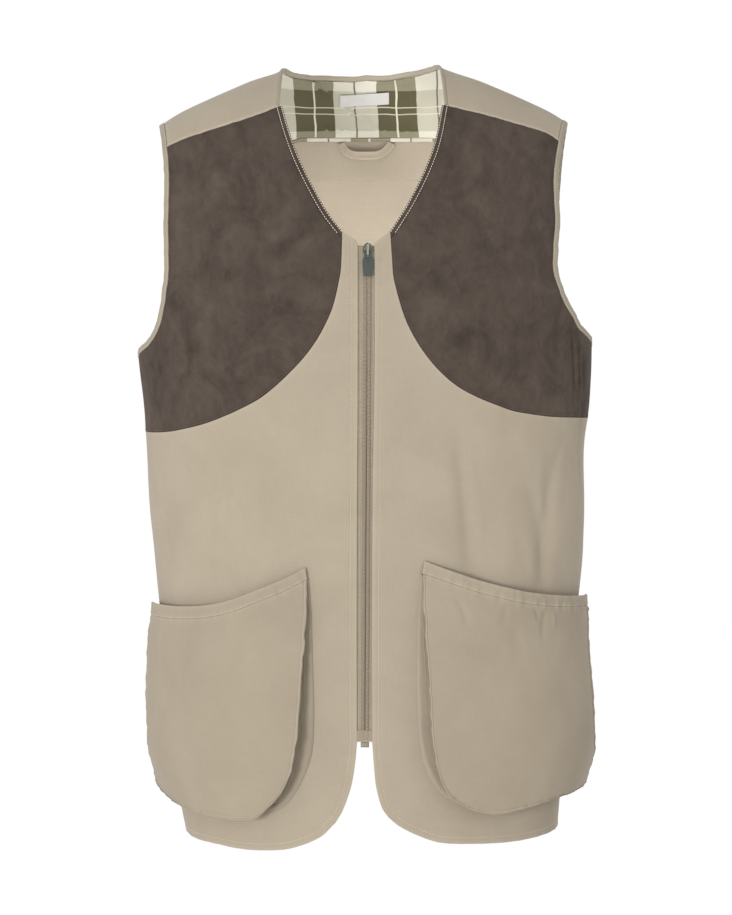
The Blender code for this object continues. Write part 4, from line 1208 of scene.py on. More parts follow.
@dataclass
class Knit:
    """A mesh being put together from blocks of points and faces, in millimetres."""
    points: list[Array] = field(default_factory=list)
    faces: list[Array] = field(default_factory=list)
    flat: list[Array] = field(default_factory=list)
    edge: list[Array] = field(default_factory=list)
    count: int = 0

    def add(self, points: Array, faces: Sequence[Array], flat: Array | None = None,
            edge: Array | None = None) -> None:
        """Adds a block.

        Args:
            points: Its points.
            faces: Blocks of faces that have as many corners each, numbered within the block.
            flat: The place of each point on the flat cloth.
            edge: How close each point is to an edge, from 0 to 1.
        """
        size = len(points)
        self.points.append(points)
        self.faces += [block + self.count for block in faces if len(block)]
        self.flat.append(points[:, [0, 2]] if flat is None else flat)
        self.edge.append(np.zeros(size) if edge is None else edge)
        self.count += size

    def add_rods(self, rods: Array) -> None:
        """Adds closed rods.

        Args:
            rods: For each rod, its rings of points.
        """
        count, rings, sides = rods.shape[:3]
        number = np.arange(rings * sides).reshape(rings, sides)
        around = np.concatenate([number, number[:, :1]], axis=1)
        quads = np.concatenate([ring_faces(first, second) for first, second in zip(around, around[1:])])
        caps = np.array([number[0], number[-1][::-1]])
        start = np.arange(count)[:, None, None] * rings * sides
        self.add(rods.reshape(-1, 3), [(quads + start).reshape(-1, 4), (caps + start).reshape(-1, sides)])

    def make(self, name: str, material: Material) -> Item:
        """Makes the object.

        Args:
            name: The piece's name.
            material: Its finish.

        Returns:
            The object, smooth and with its faces out.
        """
        mesh = bpy.data.meshes.new(name)
        points = np.concatenate(self.points) * MM
        mesh.vertices.add(len(points))
        mesh.vertices.foreach_set("co", points.astype(np.float32).ravel())
        corners = np.concatenate([block.ravel() for block in self.faces])
        sizes = np.concatenate([np.full(len(block), block.shape[1]) for block in self.faces])
        starts = np.concatenate([[0], np.cumsum(sizes)[:-1]])
        mesh.loops.add(len(corners))
        mesh.loops.foreach_set("vertex_index", corners.astype(np.int32))
        mesh.polygons.add(len(sizes))
        mesh.polygons.foreach_set("loop_start", starts.astype(np.int32))
        mesh.update(calc_edges=True)
        flat = np.concatenate(self.flat)[corners] * MM
        mesh.uv_layers.new(name=CLOTH_MAP).data.foreach_set("uv", flat.astype(np.float32).ravel())
        edge = mesh.attributes.new(EDGE_NAME, "FLOAT", "POINT")
        edge.data.foreach_set("value", np.concatenate(self.edge).astype(np.float32))
        mesh.materials.append(material)
        mesh.shade_smooth()
        mesh.validate()
        item = bpy.data.objects.new(name, mesh)
        bpy.context.scene.collection.objects.link(item)
        return item


def ring_faces(first: Array, second: Array) -> Array:
    """Quads between two rows of point numbers."""
    return np.stack([first[:-1], second[:-1], second[1:], first[1:]], -1)


@dataclass
class Cloth:
    """A grid of places on a surface, which becomes a thin two-sided sheet."""
    points: Array
    normals: Array
    flat: Array
    thickness: float
    dip: float = 0.55
    round_top: bool = True
    flat_inside: bool = False

    def edge_gap(self) -> Array:
        """Gives each grid point's distance from the nearest rounded edge.

        Returns:
            The distances, in millimetres.
        """
        across = np.linalg.norm(np.diff(self.points, axis=1), axis=-1)
        down = np.linalg.norm(np.diff(self.points, axis=0), axis=-1)
        from_first = np.pad(np.cumsum(across, axis=1), ((0, 0), (1, 0)))
        from_top = np.pad(np.cumsum(down, axis=0), ((1, 0), (0, 0)))
        gap = np.minimum(from_first, from_first[:, -1:] - from_first)
        gap = np.minimum(gap, from_top[-1:] - from_top)
        return np.minimum(gap, from_top) if self.round_top else gap

    def build(self, name: str, material: Material) -> Item:
        """Makes the sheet.

        Args:
            name: The piece's name.
            material: Its finish.

        Returns:
            The object.
        """
        rows, columns = self.points.shape[:2]
        across, down = self.points[:-1, 1:] - self.points[:-1, :-1], self.points[1:, :-1] - self.points[:-1,
            :-1]
        if np.sum(np.cross(down, across) * self.normals[:-1, :-1]) < 0:
            return self.turned().build(name, material)
        gap = self.edge_gap()
        half = self.thickness / 2
        swell = np.sqrt(np.clip(1 - (1 - np.minimum(gap / (self.thickness * 0.9), 1.0)) ** 2, 0, 1))
        outer = half * (1 - self.dip * 1.6 * (1 - swell))
        inner = -half * (1.0 if self.flat_inside else 0.4 + 0.6 * swell) * np.ones_like(gap)
        face = (self.points + self.normals * outer[..., None]).reshape(-1, 3)
        back = (self.points + self.normals * inner[..., None]).reshape(-1, 3)
        number = np.arange(rows * columns).reshape(rows, columns)
        a, b = number[:-1, :-1], number[:-1, 1:]
        d, c = number[1:, :-1], number[1:, 1:]
        size = rows * columns
        quads = np.stack([a, d, c, b], -1).reshape(-1, 4)
        border = np.concatenate([number[0], number[1:, -1], number[-1, -2::-1], number[-2::-1, 0]])
        rim = np.stack([border[:-1], border[1:], border[1:] + size, border[:-1] + size], -1)
        flat = self.flat.reshape(-1, 2)
        edge = np.exp(-gap / 2.2).ravel()
        knit = Knit()
        knit.add(np.concatenate([face, back]), [quads, quads[:, ::-1] + size, rim],
            np.concatenate([flat, flat]), np.concatenate([edge, edge * 0.3]))
        return knit.make(name, material)

    def turned(self) -> "Cloth":
        """The same sheet with its columns from the other side."""
        return replace(self, points=self.points[:, ::-1], normals=self.normals[:, ::-1],
            flat=self.flat[:, ::-1])


class Line(NamedTuple):
    """A line on the cloth: its points and the outward normals there."""
    points: Array
    normals: Array

    def moved(self, aside: float, towards: Array) -> "Line":
        """Moves the line over in the cloth's plane.

        Args:
            aside: How far.
            towards: A point that it moves towards.

        Returns:
            The moved line.
        """
        along = unit(np.gradient(self.points, axis=0))
        side = unit(np.cross(self.normals, along))
        facing = np.sign(np.sum(side * (towards - self.points), axis=-1).mean()) or 1.0
        return Line(self.points + side * facing * aside, self.normals)

    def raised(self, lift: Array | float) -> "Line":
        """The line lifted off the cloth."""
        return Line(self.points + self.normals * np.asarray(lift)[..., None], self.normals)

    def evenly(self, step: float) -> "Line":
        """Puts points along the line at even steps.

        Args:
            step: The distance between them.

        Returns:
            The line with the new points.
        """
        spans = np.linalg.norm(np.diff(self.points, axis=0), axis=1)
        places = np.concatenate([[0.0], np.cumsum(spans)])
        wanted = np.arange(0, places[-1], step)
        columns = [np.interp(wanted, places, column) for column in np.hstack([self.points, self.normals]).T]
        return Line(np.stack(columns[:3], -1), unit(np.stack(columns[3:], -1)))


STITCH_RINGS = ((-0.5, 0.6, -0.75), (-0.27, 1.2, 0.1), (0.27, 1.2, 0.1), (0.5, 0.6, -0.75))


@dataclass(frozen=True)
class Stitching:
    """A row of machine stitches: the distance from stitch to stitch and a stitch's size."""
    pitch: float = 3.2
    length: float = 2.2
    radius: float = 0.32

    def add(self, knit: Knit, line: Line) -> None:
        """Sews along a line.

        Args:
            knit: The mesh that the stitches are added to.
            line: Where they lie, on the cloth's outer face.
        """
        centre = line.evenly(self.pitch)
        if len(centre.points) < 3:
            return
        along = unit(np.gradient(centre.points, axis=0))
        side = unit(np.cross(centre.normals, along))
        turns = np.arange(4) * QUARTER + QUARTER / 2
        shape = np.array([[(travel * self.length, math.cos(turn) * thick * self.radius,
            (math.sin(turn) * thick + rise) * self.radius) for turn in turns]
            for travel, thick, rise in STITCH_RINGS])
        axes = enumerate((along, side, centre.normals))
        rods = sum(axis[:, None, None] * shape[None, ..., k, None] for k, axis in axes)
        knit.add_rods(centre.points[:, None, None] + rods)


@dataclass
class Tube:
    """A folded tape swept along an edge."""
    line: Line
    outward: Array
    width: Array
    thickness: float
    closed: bool
    lean: float = 0.0

    def build(self, name: str, material: Material) -> Item:
        """Makes the tape: square at the seam and rounded at its outer fold.

        Args:
            name: The piece's name.
            material: Its finish.

        Returns:
            The object.
        """
        half = self.thickness / 2
        turns = np.linspace(-QUARTER, QUARTER, 7)
        fold = [(1 - half * 0.16 + math.cos(t) * half * 0.16, math.sin(t) * half) for t in turns]
        profile = np.array([(0.02, -half * 0.7), (0.12, -half), (0.5, -half)] + fold
            + [(0.5, half), (0.3, half * 1.04), (0.16, half * 0.9), (0.07, half * 0.8),
            (0.02, half * 0.35)])
        across = unit(self.outward + self.line.normals * self.lean)
        up = unit(self.line.normals - self.outward * self.lean)
        reach = profile[None, :, :1] * self.width[:, None, None]
        points = self.line.points[:, None] + across[:, None] * reach + up[:, None] * profile[None, :, 1:]
        count, size = points.shape[:2]
        number = np.arange(count * size).reshape(count, size)
        rows = np.concatenate([number, number[:1]]) if self.closed else number
        rows = np.concatenate([rows, rows[:, :1]], axis=1)
        quads = np.stack([rows[:-1, :-1], rows[:-1, 1:], rows[1:, 1:], rows[1:, :-1]], -1).reshape(-1, 4)
        faces = [quads] if self.closed else [quads, np.array([number[0][::-1], number[-1]])]
        spans = np.linalg.norm(np.diff(self.line.points, axis=0, append=self.line.points[-1:]), axis=1)
        travel = np.concatenate([[0.0], np.cumsum(spans)[:-1]])
        around = np.concatenate([[0.0], np.cumsum(np.linalg.norm(np.diff(profile, axis=0), axis=1) * 6)])
        flat = np.stack(np.broadcast_arrays(travel[:, None], around[None]), -1).reshape(-1, 2)
        edge = np.tile(np.exp(-((profile[:, 0] - 1) / 0.12) ** 2) + 0.4
            * np.exp(-(profile[:, 0] / 0.1) ** 2), count)
        knit = Knit()
        knit.add(points.reshape(-1, 3), faces, flat, edge)
        item = knit.make(name, material)
        face_out(item)
        return item


def face_out(item: Item) -> None:
    """Turns an object's faces outward.

    Args:
        item: A closed mesh object.
    """
    shaped = bmesh.new()
    shaped.from_mesh(item.data)
    bmesh.ops.recalc_face_normals(shaped, faces=shaped.faces)
    shaped.to_mesh(item.data)
    shaped.free()


class Cut(NamedTuple):
    """The size a piece of cloth is cut to, in metres and square metres."""
    width: float
    length: float
    area: float


FRONT_CREASES = rows(Crease,
    89, -362, 105, -540, 4, 8, -1.5, 99, -372, 116, -520, 4, 6, 0.9,
    162, -420, 182, -538, 5, 7.5, -1.5, 150, -440, 168, -536, 4, 6, 0.7,
    -138, -400, -150, -545, -5, 8, -1.2, -104, -390, -118, -530, 4, 9, 0.7,
    -190, -384, -172, -480, 5, 5, -0.9, 203, -372, 186, -470, -5, 5, -1,
    -17, -691, -31, -698, 1, 1.1, -0.7, -40, -330, -52, -480, 3, 9, -0.5,
    36, -330, 44, -500, -3, 9, -0.5, -60, -770, -120, -782, 3, 3, -0.6,
    60, -764, 118, -776, -3, 3, -0.6, 17, -196, 14, -206, 0, 0.8, -0.5,
    208, -262, 212, -344, 1, 2.6, -1.9, 214, -268, 217, -346, 1, 2.4, -1.8,
    220, -280, 221.5, -340, 1, 2.2, -1.6, 211, -264, 214.5, -345, 1, 2.2, 1.1,
    200, -258, 192, -310, -3, 4, -0.9, -212, -300, -217, -372, 1, 2.6, -1.4,
    -205, -284, -196, -336, 3, 4, -0.9, -188, -96, -150, -150, 8, 8, -0.6,
    180, -90, 140, -146, -8, 8, -0.6, -110, -70, -96, -120, 2, 7, 0.5,
    -145, -48, -141, -61, 1, 1.6, -0.6, 120, -34, 124, -48, 1, 2, -0.4)
FRONT_CREASE_GAIN = 1.4
BACK_CREASE_GAIN = 1.3
FACING_CREASE_GAIN = 2.6
PEAK_WIDTH = 9.0
STITCH_LIFT = COTTON / 2 + 0.12
SUEDE_STITCH_LIFT = SUEDE / 2 + 0.08
BAND_STITCH_LIFT = SUEDE / 2 + 0.42
BACK_CREASES = rows(Crease,
    -196, -262, -120, -330, 14, 8, -2.2, -188, -282, -128, -352, 10, 6, 1.2,
    192, -252, 122, -322, -14, 8, -2.2, 184, -276, 126, -346, -10, 6, 1.1,
    -60, -330, -84, -560, 8, 11, -1.8, -20, -360, -30, -600, -6, 12, 1.2,
    54, -340, 80, -580, -8, 11, -1.8, 110, -400, 128, -640, 6, 9, -1.6,
    -124, -420, -138, -650, -6, 9, -1.5, -150, -140, -120, -240, 8, 9, -0.9,
    148, -138, 116, -240, -8, 9, -0.9, -60, -470, 20, -492, 7, 5, -0.9,
    10, -520, 84, -508, 6, 5, -0.8, -90, -660, -70, -690, 2, 4, -0.7,
    90, -655, 74, -690, 2, 4, -0.7, 0, -112, 3, -200, 4, 10, -0.6)


FACING_CREASES = rows(Crease,
    -64, 3, -36, -28, 2, 1.5, 1, -61, 5, -34, -25, 2, 1.2, -0.6, -78, 3.4, -65, 3, 0, 0.8, -0.5,
    -78, 2, -65, 1.4, 0, 0.8, 0.5, -27, -24, -10, -46, 2, 1.6, 0.8, -24, -22, -8, -42, 2, 1.2, -0.5,
    -42, -46, -41, -61, 0, 1.4, 0.6, -31, -47, -29, -61, 0, 1.3, 0.7, -22, -50, -20, -61, 0, 1.1, 0.6,
    13, -48, 12, -61, 0, 1.4, 0.6, 21, -47, 20, -61, 0, 1.2, 0.5, 34, -46, 33, -61, 0, 1.3, 0.6,
    46, -50, 44, -61, 0, 1.2, 0.4, 8, -6, 44, -3, 2, 1.8, 0.5, 30, 3, 52, -14, 2, 1.5, 0.6,
    -8, -34, 6, -52, 1, 1.6, 0.5)


class Peak(NamedTuple):
    """A place where the neck edge stands up beside the shoulder line."""
    across: float
    rise: float


NECK_PEAKS = rows(Peak,
    -78, 6, 66, 4)


class LabelEnd(NamedTuple):
    """One end of the label: its place across and the heights of its two edges."""
    across: float
    top: float
    foot: float


LABEL_ENDS = rows(LabelEnd,
    -28, -16.2, -28.3, 24.7, -13, -25.3)
FACING_HEM = -64.5


PINCHED_EDGE = (0.25, 0.6, 1.0, 1.5, 2.1, 2.6, 2.9, 3.2, 3.7, 4.4)
STITCHED_EDGE = (0.25, 0.6, 1.1, 2.0, 3.3, 4.6, 5.6, 6.1, 6.6, 7.1, 7.6, 8.6)


class Workroom:
    """What every part of the vest needs: the form, its lines and the finishes."""

    def __init__(self) -> None:
        """Sets the form up and lays its creases and seam puckers."""
        self.form = BodyForm()
        self.lines = Outlines(self.form)
        self.finishes = Finishes()
        rucks = [Ruck(self.form.crease_line(crease, True), crease.width, crease.rise * FRONT_CREASE_GAIN)
            for crease in FRONT_CREASES]
        rucks += [Ruck(self.form.crease_line(crease, False), crease.width, crease.rise * BACK_CREASE_GAIN)
            for crease in BACK_CREASES]
        rucks += [Ruck(self.form.sites(np.array([[peak.across, 2.0], [peak.across, 9.0]]), True)[0],
            PEAK_WIDTH, peak.rise, -1.0) for peak in NECK_PEAKS]
        spread, lines = np.linspace(0, 1, 41), self.lines
        for side in Side:
            seams = ((lines.suede_seam, 7.0, 0.32, 17.0), (lines.zip_edge, 4.0, 0.16, 11.0),
                (lines.hem, 7.0, 0.34, 13.0), (lines.cutaway, 5.0, 0.2, 10.0),
                (lines.armhole_front, 6.0, 0.25, 19.0), (lines.armhole_back, 7.0, 0.28, 21.0),
                (lines.yoke_seam, 5.0, 0.22, 14.0))
            for k, (curve, width, rise, pitch) in enumerate(seams):
                line = self.form.sites(curve(side)(spread))[0]
                rucks.append(Ruck(line, width, rise, pitch, k + side.value))
        for k, (curve, rise) in enumerate(((lines.back_yoke_seam(), 0.4), (lines.back_hem(), 0.5))):
            rucks.append(Ruck(self.form.sites(curve(spread))[0], 8.0, rise, 15.0, k + 20))
        self.form.drape.rucks = rucks

    def laid(self, values: Array, yoke: bool = False) -> Line:
        """Places of the draped cloth, from angle and height, or from across and over on the yoke."""
        line = Line(*self.form.sites(values, yoke))
        return line.raised(self.form.drape.at(line.points))

    def cloth(self, values: Array, thickness: float, dip: float = 0.55, flat_inside: bool = False) -> Cloth:
        """A sheet of cloth laid on the body at angles and heights."""
        return Cloth(*self.laid(values), self.flat_of(values), thickness, dip, flat_inside=flat_inside)

    def beside(self, curve: Curve, count: int, aside: float, towards: Sequence[float]) -> Line:
        """A line on the smooth form that runs beside an edge, on the side of a point."""
        return Line(*self.form.sites(curve(np.linspace(0, 1, count)))).moved(aside, np.array(towards, float))

    def edge_line(self, curve: Curve, count: int, aside: float, towards: Sequence[float],
            lift: float) -> Line:
        """A line beside an edge, so far off the middle of the draped cloth."""
        line = self.beside(curve, count, aside, towards)
        return line.raised(self.form.drape.at(line.points) + lift)

    def groove(self, curve: Curve, aside: float, towards: Sequence[float]) -> None:
        """Sinks the cloth along a row of stitches, before the cloth is laid."""
        self.form.drape.rucks.append(Ruck(self.beside(curve, 70, aside, towards).points, 1.0, -0.3, -1.0))

    @staticmethod
    def flat_of(values: Array) -> Array:
        """Places on the flat cloth, in millimetres."""
        return values[..., :2] * np.array([GIRTH_SCALE, 1.0])

    @staticmethod
    def dress(item: Item, slot: str, *nodes: str) -> Item:
        """Parents a piece to the vest, hides the solids that it stands for and logs its faces.

        Args:
            item: The piece.
            slot: Not used.
            nodes: The solids that it stands for.

        Returns:
            The piece.
        """
        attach(item, "vest")
        if nodes:
            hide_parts(*nodes)
        LOG.info("%s: %d faces", item.name, len(item.data.polygons))
        return item

    def sew(self, name: str, rows: Iterable[Line], slot: str, stitch: Stitching = Stitching(),
            thread: Material | None = None) -> Item:
        """Makes the rows of stitches of one piece.

        Args:
            name: The name of the stitches.
            rows: The lines that they follow.
            slot: Not used.
            stitch: The stitches' sizes.
            thread: The thread's material.

        Returns:
            The stitches as one object.
        """
        knit = Knit()
        for line in rows:
            stitch.add(knit, line)
        return self.dress(knit.make(name, thread or self.finishes.thread), slot)

    def sheet(self, item: Item, slot: str, node: str, cut: Cut, rests_on: str, sewn: str = "",
            rows: Iterable[Line] = (), stitch: Stitching = Stitching(), thread: Material | None = None,
            held: str = "hung") -> None:
        """Args:
            item: The sheet.
            slot: Not used.
            node: The solid that it stands for.
            cut: Not used.
            rests_on: Not used.
            sewn: The name of its stitches, if it has any.
            rows: The lines that they follow.
            stitch: Their sizes.
            thread: Their material.
            held: Not used.
        """
        self.dress(item, slot, node)
        stitches = [self.sew(sewn, rows, slot, stitch, thread)] if sewn else []


@dataclass
class Fronts:
    """The two cotton fronts with their zip edges, cutaways and hems."""
    room: Workroom
    placket_margin: float = 6.6
    side_margin: float = 1.6
    cut: Cut = Cut(0.255, 0.62, 0.1205)

    def edge(self, side: Side) -> Chain:
        """The free edge, down the zip, round the cutaway and along the hem."""
        lines = self.room.lines
        return Chain((lines.zip_edge(side), 20), (lines.cutaway(side), 4), (lines.hem(side), 9))

    def build(self, side: Side) -> None:
        """Makes a front with its stitching.

        Args:
            side: Which front.
        """
        room, lines, word = self.room, self.room.lines, side.word
        start = lines.front(V_EDGE[word][-1], V_BAND_END[word])
        outer = Chain((start, 1), (lines.suede_seam(side), SUEDE_SEAM_CELLS),
            (lines.side_run(side), SIDE_CELLS))
        inner = Chain((lines.zip_edge(side), outer.cells - CUTAWAY_CELLS),
            (lines.cutaway(side), CUTAWAY_CELLS))
        top = lines.front(*ZIP_TOP[word], V_EDGE[word][-1])
        centre = (side.value * 110, -110, -560)
        room.groove(self.edge(side), self.placket_margin, centre)
        u, v = shares(FRONT_COLUMNS, 7, 205.0, STITCHED_EDGE), shares(outer.cells, 6, 600.0, STITCHED_EDGE)
        values = coons(top, lines.hem(side), inner, outer, u, v)
        item = room.cloth(values, COTTON).build("cotton_front_" + word, room.finishes.cotton)
        rows = [room.edge_line(self.edge(side), 260, self.placket_margin, centre, STITCH_LIFT),
            room.edge_line(lines.side_run(side), 60, self.side_margin, centre, COTTON / 2 + 0.1)]
        room.sheet(item, "cotton", "front_" + word, self.cut, "cotton_yoke", "front_stitches_" + word, rows)


@dataclass
class Suedes:
    """The suede shoulder patches and the stitched band on their neck edge."""
    room: Workroom
    cut: Cut = Cut(0.225, 0.33, 0.0530)
    band_cut: Cut = Cut(0.010, 0.15, 0.00108)
    margin: float = 1.9
    band_rows: tuple[float, float] = (0.9, 5.2)

    def build(self, side: Side) -> None:
        """Makes a patch and its band with their stitching.

        Args:
            side: Which patch.
        """
        room, lines, word = self.room, self.room.lines, side.word
        lower = Path([(side.turn, UNDERARM[word]), (side.turn, SUEDE_SIDE[word])])
        last = Chain((lines.armhole_front(side), ARMHOLE_CELLS), (lower, 2))
        u, v = shares(SUEDE_SEAM_CELLS, 7, 190.0), shares(ARMHOLE_CELLS + 2, 9, 260.0)
        values = coons(lines.yoke_seam(side), lines.suede_seam(side), lines.v_seam(side), last, u, v)
        item = room.cloth(values, SUEDE, 0.5).build("suede_patch_" + word, room.finishes.suede)
        centre = (side.value * 120, -90, -230)
        rows = [room.edge_line(lines.suede_seam(side), 120, self.margin, centre, SUEDE_STITCH_LIFT)]
        room.sheet(item, "suede", "suede_" + word, self.cut, "cotton_yoke", "suede_stitches_" + word, rows,
            Stitching(2.6, 1.7, 0.2), room.finishes.dark_thread)
        self.band(side, centre)

    def band(self, side: Side, centre: Sequence[float]) -> None:
        """Makes the neck band.

        Args:
            side: Which band.
            centre: A point on the patch.
        """
        room, word = self.room, side.word
        edge, seam = room.lines.v_edge(side), room.lines.v_seam(side)
        u, v = shares(ARMHOLE_CELLS + 2, 14, 150.0), shares(3, 3, 5.6, (0.15, 0.4, 0.8, 1.2))
        near, far = edge(u)[None], seam(u)[None]
        values = near + (far - near) * v[:, None, None]
        item = room.cloth(values, SUEDE + 0.6, 0.45).build("suede_band_" + word, room.finishes.suede)
        rows = [room.edge_line(edge, 120, aside, centre, BAND_STITCH_LIFT) for aside in self.band_rows]
        room.sheet(item, "suede", "neck_band_" + word, self.band_cut, "suede_patch_" + word,
            "band_stitches_" + word, rows, Stitching(2.9, 1.8, 0.42), room.finishes.pale_thread)


@dataclass
class BackPanel:
    """The cotton back, under the yoke and between the side seams."""
    room: Workroom
    cut: Cut = Cut(0.60, 0.61, 0.297)
    hem_margin: float = 14.0
    seam_margin: float = 1.8
    side_margin: float = 1.6
    lap: float = 0.28

    def build(self) -> None:
        """Makes the back with its stitching."""
        room, lines = self.room, self.room.lines
        sides = []
        for side in Side:
            run = Path([(side.far_turn, BACK_HEM_SIDE[side.word]), (side.far_turn, UNDERARM[side.word])])
            sides.append(Chain((run, SIDE_CELLS), (lines.armhole_back(side), ARMHOLE_CELLS)).reverse())
        u, v = shares(BACK_CELLS, 7, 600.0), shares(SIDE_CELLS + ARMHOLE_CELLS, 6, 590.0)
        values = coons(lines.back_yoke_seam(), lines.back_hem(), *sides, u, v)
        values[0, :, 1] += self.lap
        item = room.cloth(values, COTTON, flat_inside=True).build("cotton_back", room.finishes.cotton)
        edges = ((lines.back_hem(), 160, self.hem_margin), (lines.back_yoke_seam(), 160, self.seam_margin),
            *((side.runs[1][0], 60, self.side_margin) for side in sides))
        rows = [room.edge_line(*edge, (0, 100, -400), STITCH_LIFT) for edge in edges]
        room.sheet(item, "cotton", "back_panel", self.cut, "cotton_yoke", "back_stitches", rows)


@dataclass
class YokeAndFacing:
    """The one-piece yoke, with the plaid facing, bare label and hanging loop inside it."""
    room: Workroom
    cut: Cut = Cut(0.50, 0.264, 0.076)
    facing_cut: Cut = Cut(0.32, 0.135, 0.0345)
    label_cut: Cut = Cut(0.053, 0.0142, 0.00073)
    loop_cut: Cut = Cut(0.074, 0.010, 0.00062)
    facing_lift: float = -1.3
    facing_hem: float = -65.2
    facing_trim: int = 4
    facing_ends: tuple[float, float] = (4.2, 4.9)
    hem_strip: float = 4.3
    strip_shift: tuple[float, float] = (31.0, 9.0)
    label_lift: float = -2.7

    def values(self, u: Array, v: Array) -> Array:
        """Places of the yoke at shares along the neck edge and out from it."""
        lines = self.room.lines
        ends = (lines.as_yoke(lines.yoke_seam(side), True) for side in Side)
        return coons(lines.yoke_inner(), lines.yoke_outer(), *ends, u, v)

    def build(self) -> None:
        """Makes the yoke and what lies inside it."""
        room, lines, cells = self.room, self.room.lines, SHOULDER_CELLS * 2 + BACK_CELLS
        values = self.values(shares(cells, 6, 560.0), shares(YOKE_SEAM_CELLS, 8, 120.0))
        cloth = Cloth(*room.laid(values, yoke=True), values, COTTON, flat_inside=True)
        item = cloth.build("cotton_yoke", room.finishes.cotton)
        rows = [room.edge_line(lines.yoke_seam(side), 70, 1.7, (side.value * 140, -40, -20), STITCH_LIFT)
            for side in Side]
        rows.append(room.edge_line(lines.back_yoke_seam(), 160, 1.8, (0, 60, 0), STITCH_LIFT))
        room.sheet(item, "cotton", "yoke", self.cut, "neck_tape", "yoke_stitches", rows)
        self.facing(cells)
        self.label()
        self.loop()

    def facing_values(self, cells: int) -> tuple[Array, Array]:
        """Gives places of the facing, with a level hem behind the neck.

        Args:
            cells: The number of cells along the yoke.

        Returns:
            Across and over, and each row's share of the way down.
        """
        least, most = (end / YOKE_SEAM_CELLS for end in self.facing_ends)
        u = np.linspace(self.facing_trim / cells, 1 - self.facing_trim / cells, 208)
        deep = np.linspace(0, most, 90)
        values = self.values(u, deep)
        heights = self.room.form.yoke_point(values[..., 0], values[..., 1])[..., 2]
        ends = np.array([np.interp(-self.facing_hem, -column, deep) for column in heights.T])
        ends = np.clip(ends, least, most)
        share = np.concatenate([np.linspace(0, 0.9, 42), np.linspace(0.9, 1, 19)[1:]])
        place = share[:, None] * ends[None] / most * (len(deep) - 1)
        low = np.clip(place.astype(int), 0, len(deep) - 2)
        columns = np.arange(len(u))[None]
        part = (place - low)[..., None]
        return values[low, columns] * (1 - part) + values[low + 1, columns] * part, share

    def facing(self, cells: int) -> None:
        """Makes the plaid facing with its narrow folded hem.

        Args:
            cells: The number of cells along the yoke.
        """
        form = self.room.form
        values, share = self.facing_values(cells)
        laid = self.room.laid(values, yoke=True)
        height = laid.points[..., 2]
        above = height - height[-1:]
        in_strip = smooth_step((self.hem_strip - above) / 0.5)
        crease = np.exp(-((above - self.hem_strip) / 0.7) ** 2)
        rucks = [Ruck(form.crease_line(fold, False), fold.width, fold.rise * FACING_CREASE_GAIN)
            for fold in FACING_CREASES]
        hem_line = laid.points[-1, ::8]
        rucks += [Ruck(hem_line, 9.0, 0.45, 9.0, 4), Ruck(laid.points[0, ::8], 7.0, 0.3, 12.0, 9)]
        waver = sum(ruck.at(laid.points) for ruck in rucks) + 0.18 * Noise.at(laid.points, 11.0, 41)
        lift = self.facing_lift - in_strip * 0.75 + crease * 0.55 - np.clip(waver, -0.5, 2.4)
        slip = [Noise.at(laid.points, 16.0, 51), Noise.at(laid.points, 21.0, 52) * 0.8 + waver * 1.6]
        flat = np.stack([laid.points[..., 0], -height], -1) + np.stack(slip, -1)
        flat = flat + in_strip[..., None] * np.array(self.strip_shift)
        cloth = Cloth(*laid.raised(lift), flat, PLAID)
        item = cloth.build("plaid_facing", self.room.finishes.plaid)
        row = int(np.argmin(np.abs(above[:, len(hem_line) * 4] - self.hem_strip * 0.5)))
        line = Line(cloth.points[row], -cloth.normals[row]).raised(PLAID / 2)
        self.room.sheet(item, "plaid", "neck_facing", self.facing_cut, "cotton_yoke", "facing_stitches",
            [line], Stitching(2.6, 1.8, 0.17), held="laid")

    def label(self) -> None:
        """Makes the bare woven label, sewn down at its ends."""
        form = self.room.form
        first, last = LABEL_ENDS
        part, down = np.linspace(0, 1, 60)[None], np.linspace(0, 1, 16)[:, None]
        across = first.across + (last.across - first.across) * part + 0 * down
        top = first.top + (last.top - first.top) * part
        foot = first.foot + (last.foot - first.foot) * part
        values = form.over_of(across, top + (foot - top) * down, False)
        laid = self.room.laid(values, yoke=True)
        wave = 0.28 * np.sin(part * 9.0 + down * 1.3) * np.sin(part * math.pi)
        flat = np.stack([laid.points[..., 0], -laid.points[..., 2]], -1)
        cloth = Cloth(*laid.raised(self.label_lift - 0.2 - wave), flat, 0.6)
        item = cloth.build("bare_label", self.room.finishes.label)
        rows = [Line(cloth.points[:, k], -cloth.normals[:, k]).raised(0.32) for k in (2, 57)]
        self.room.sheet(item, "label", "neck_label", self.label_cut, "plaid_facing", "label_stitches", rows,
            Stitching(1.9, 1.3, 0.14), held="laid")

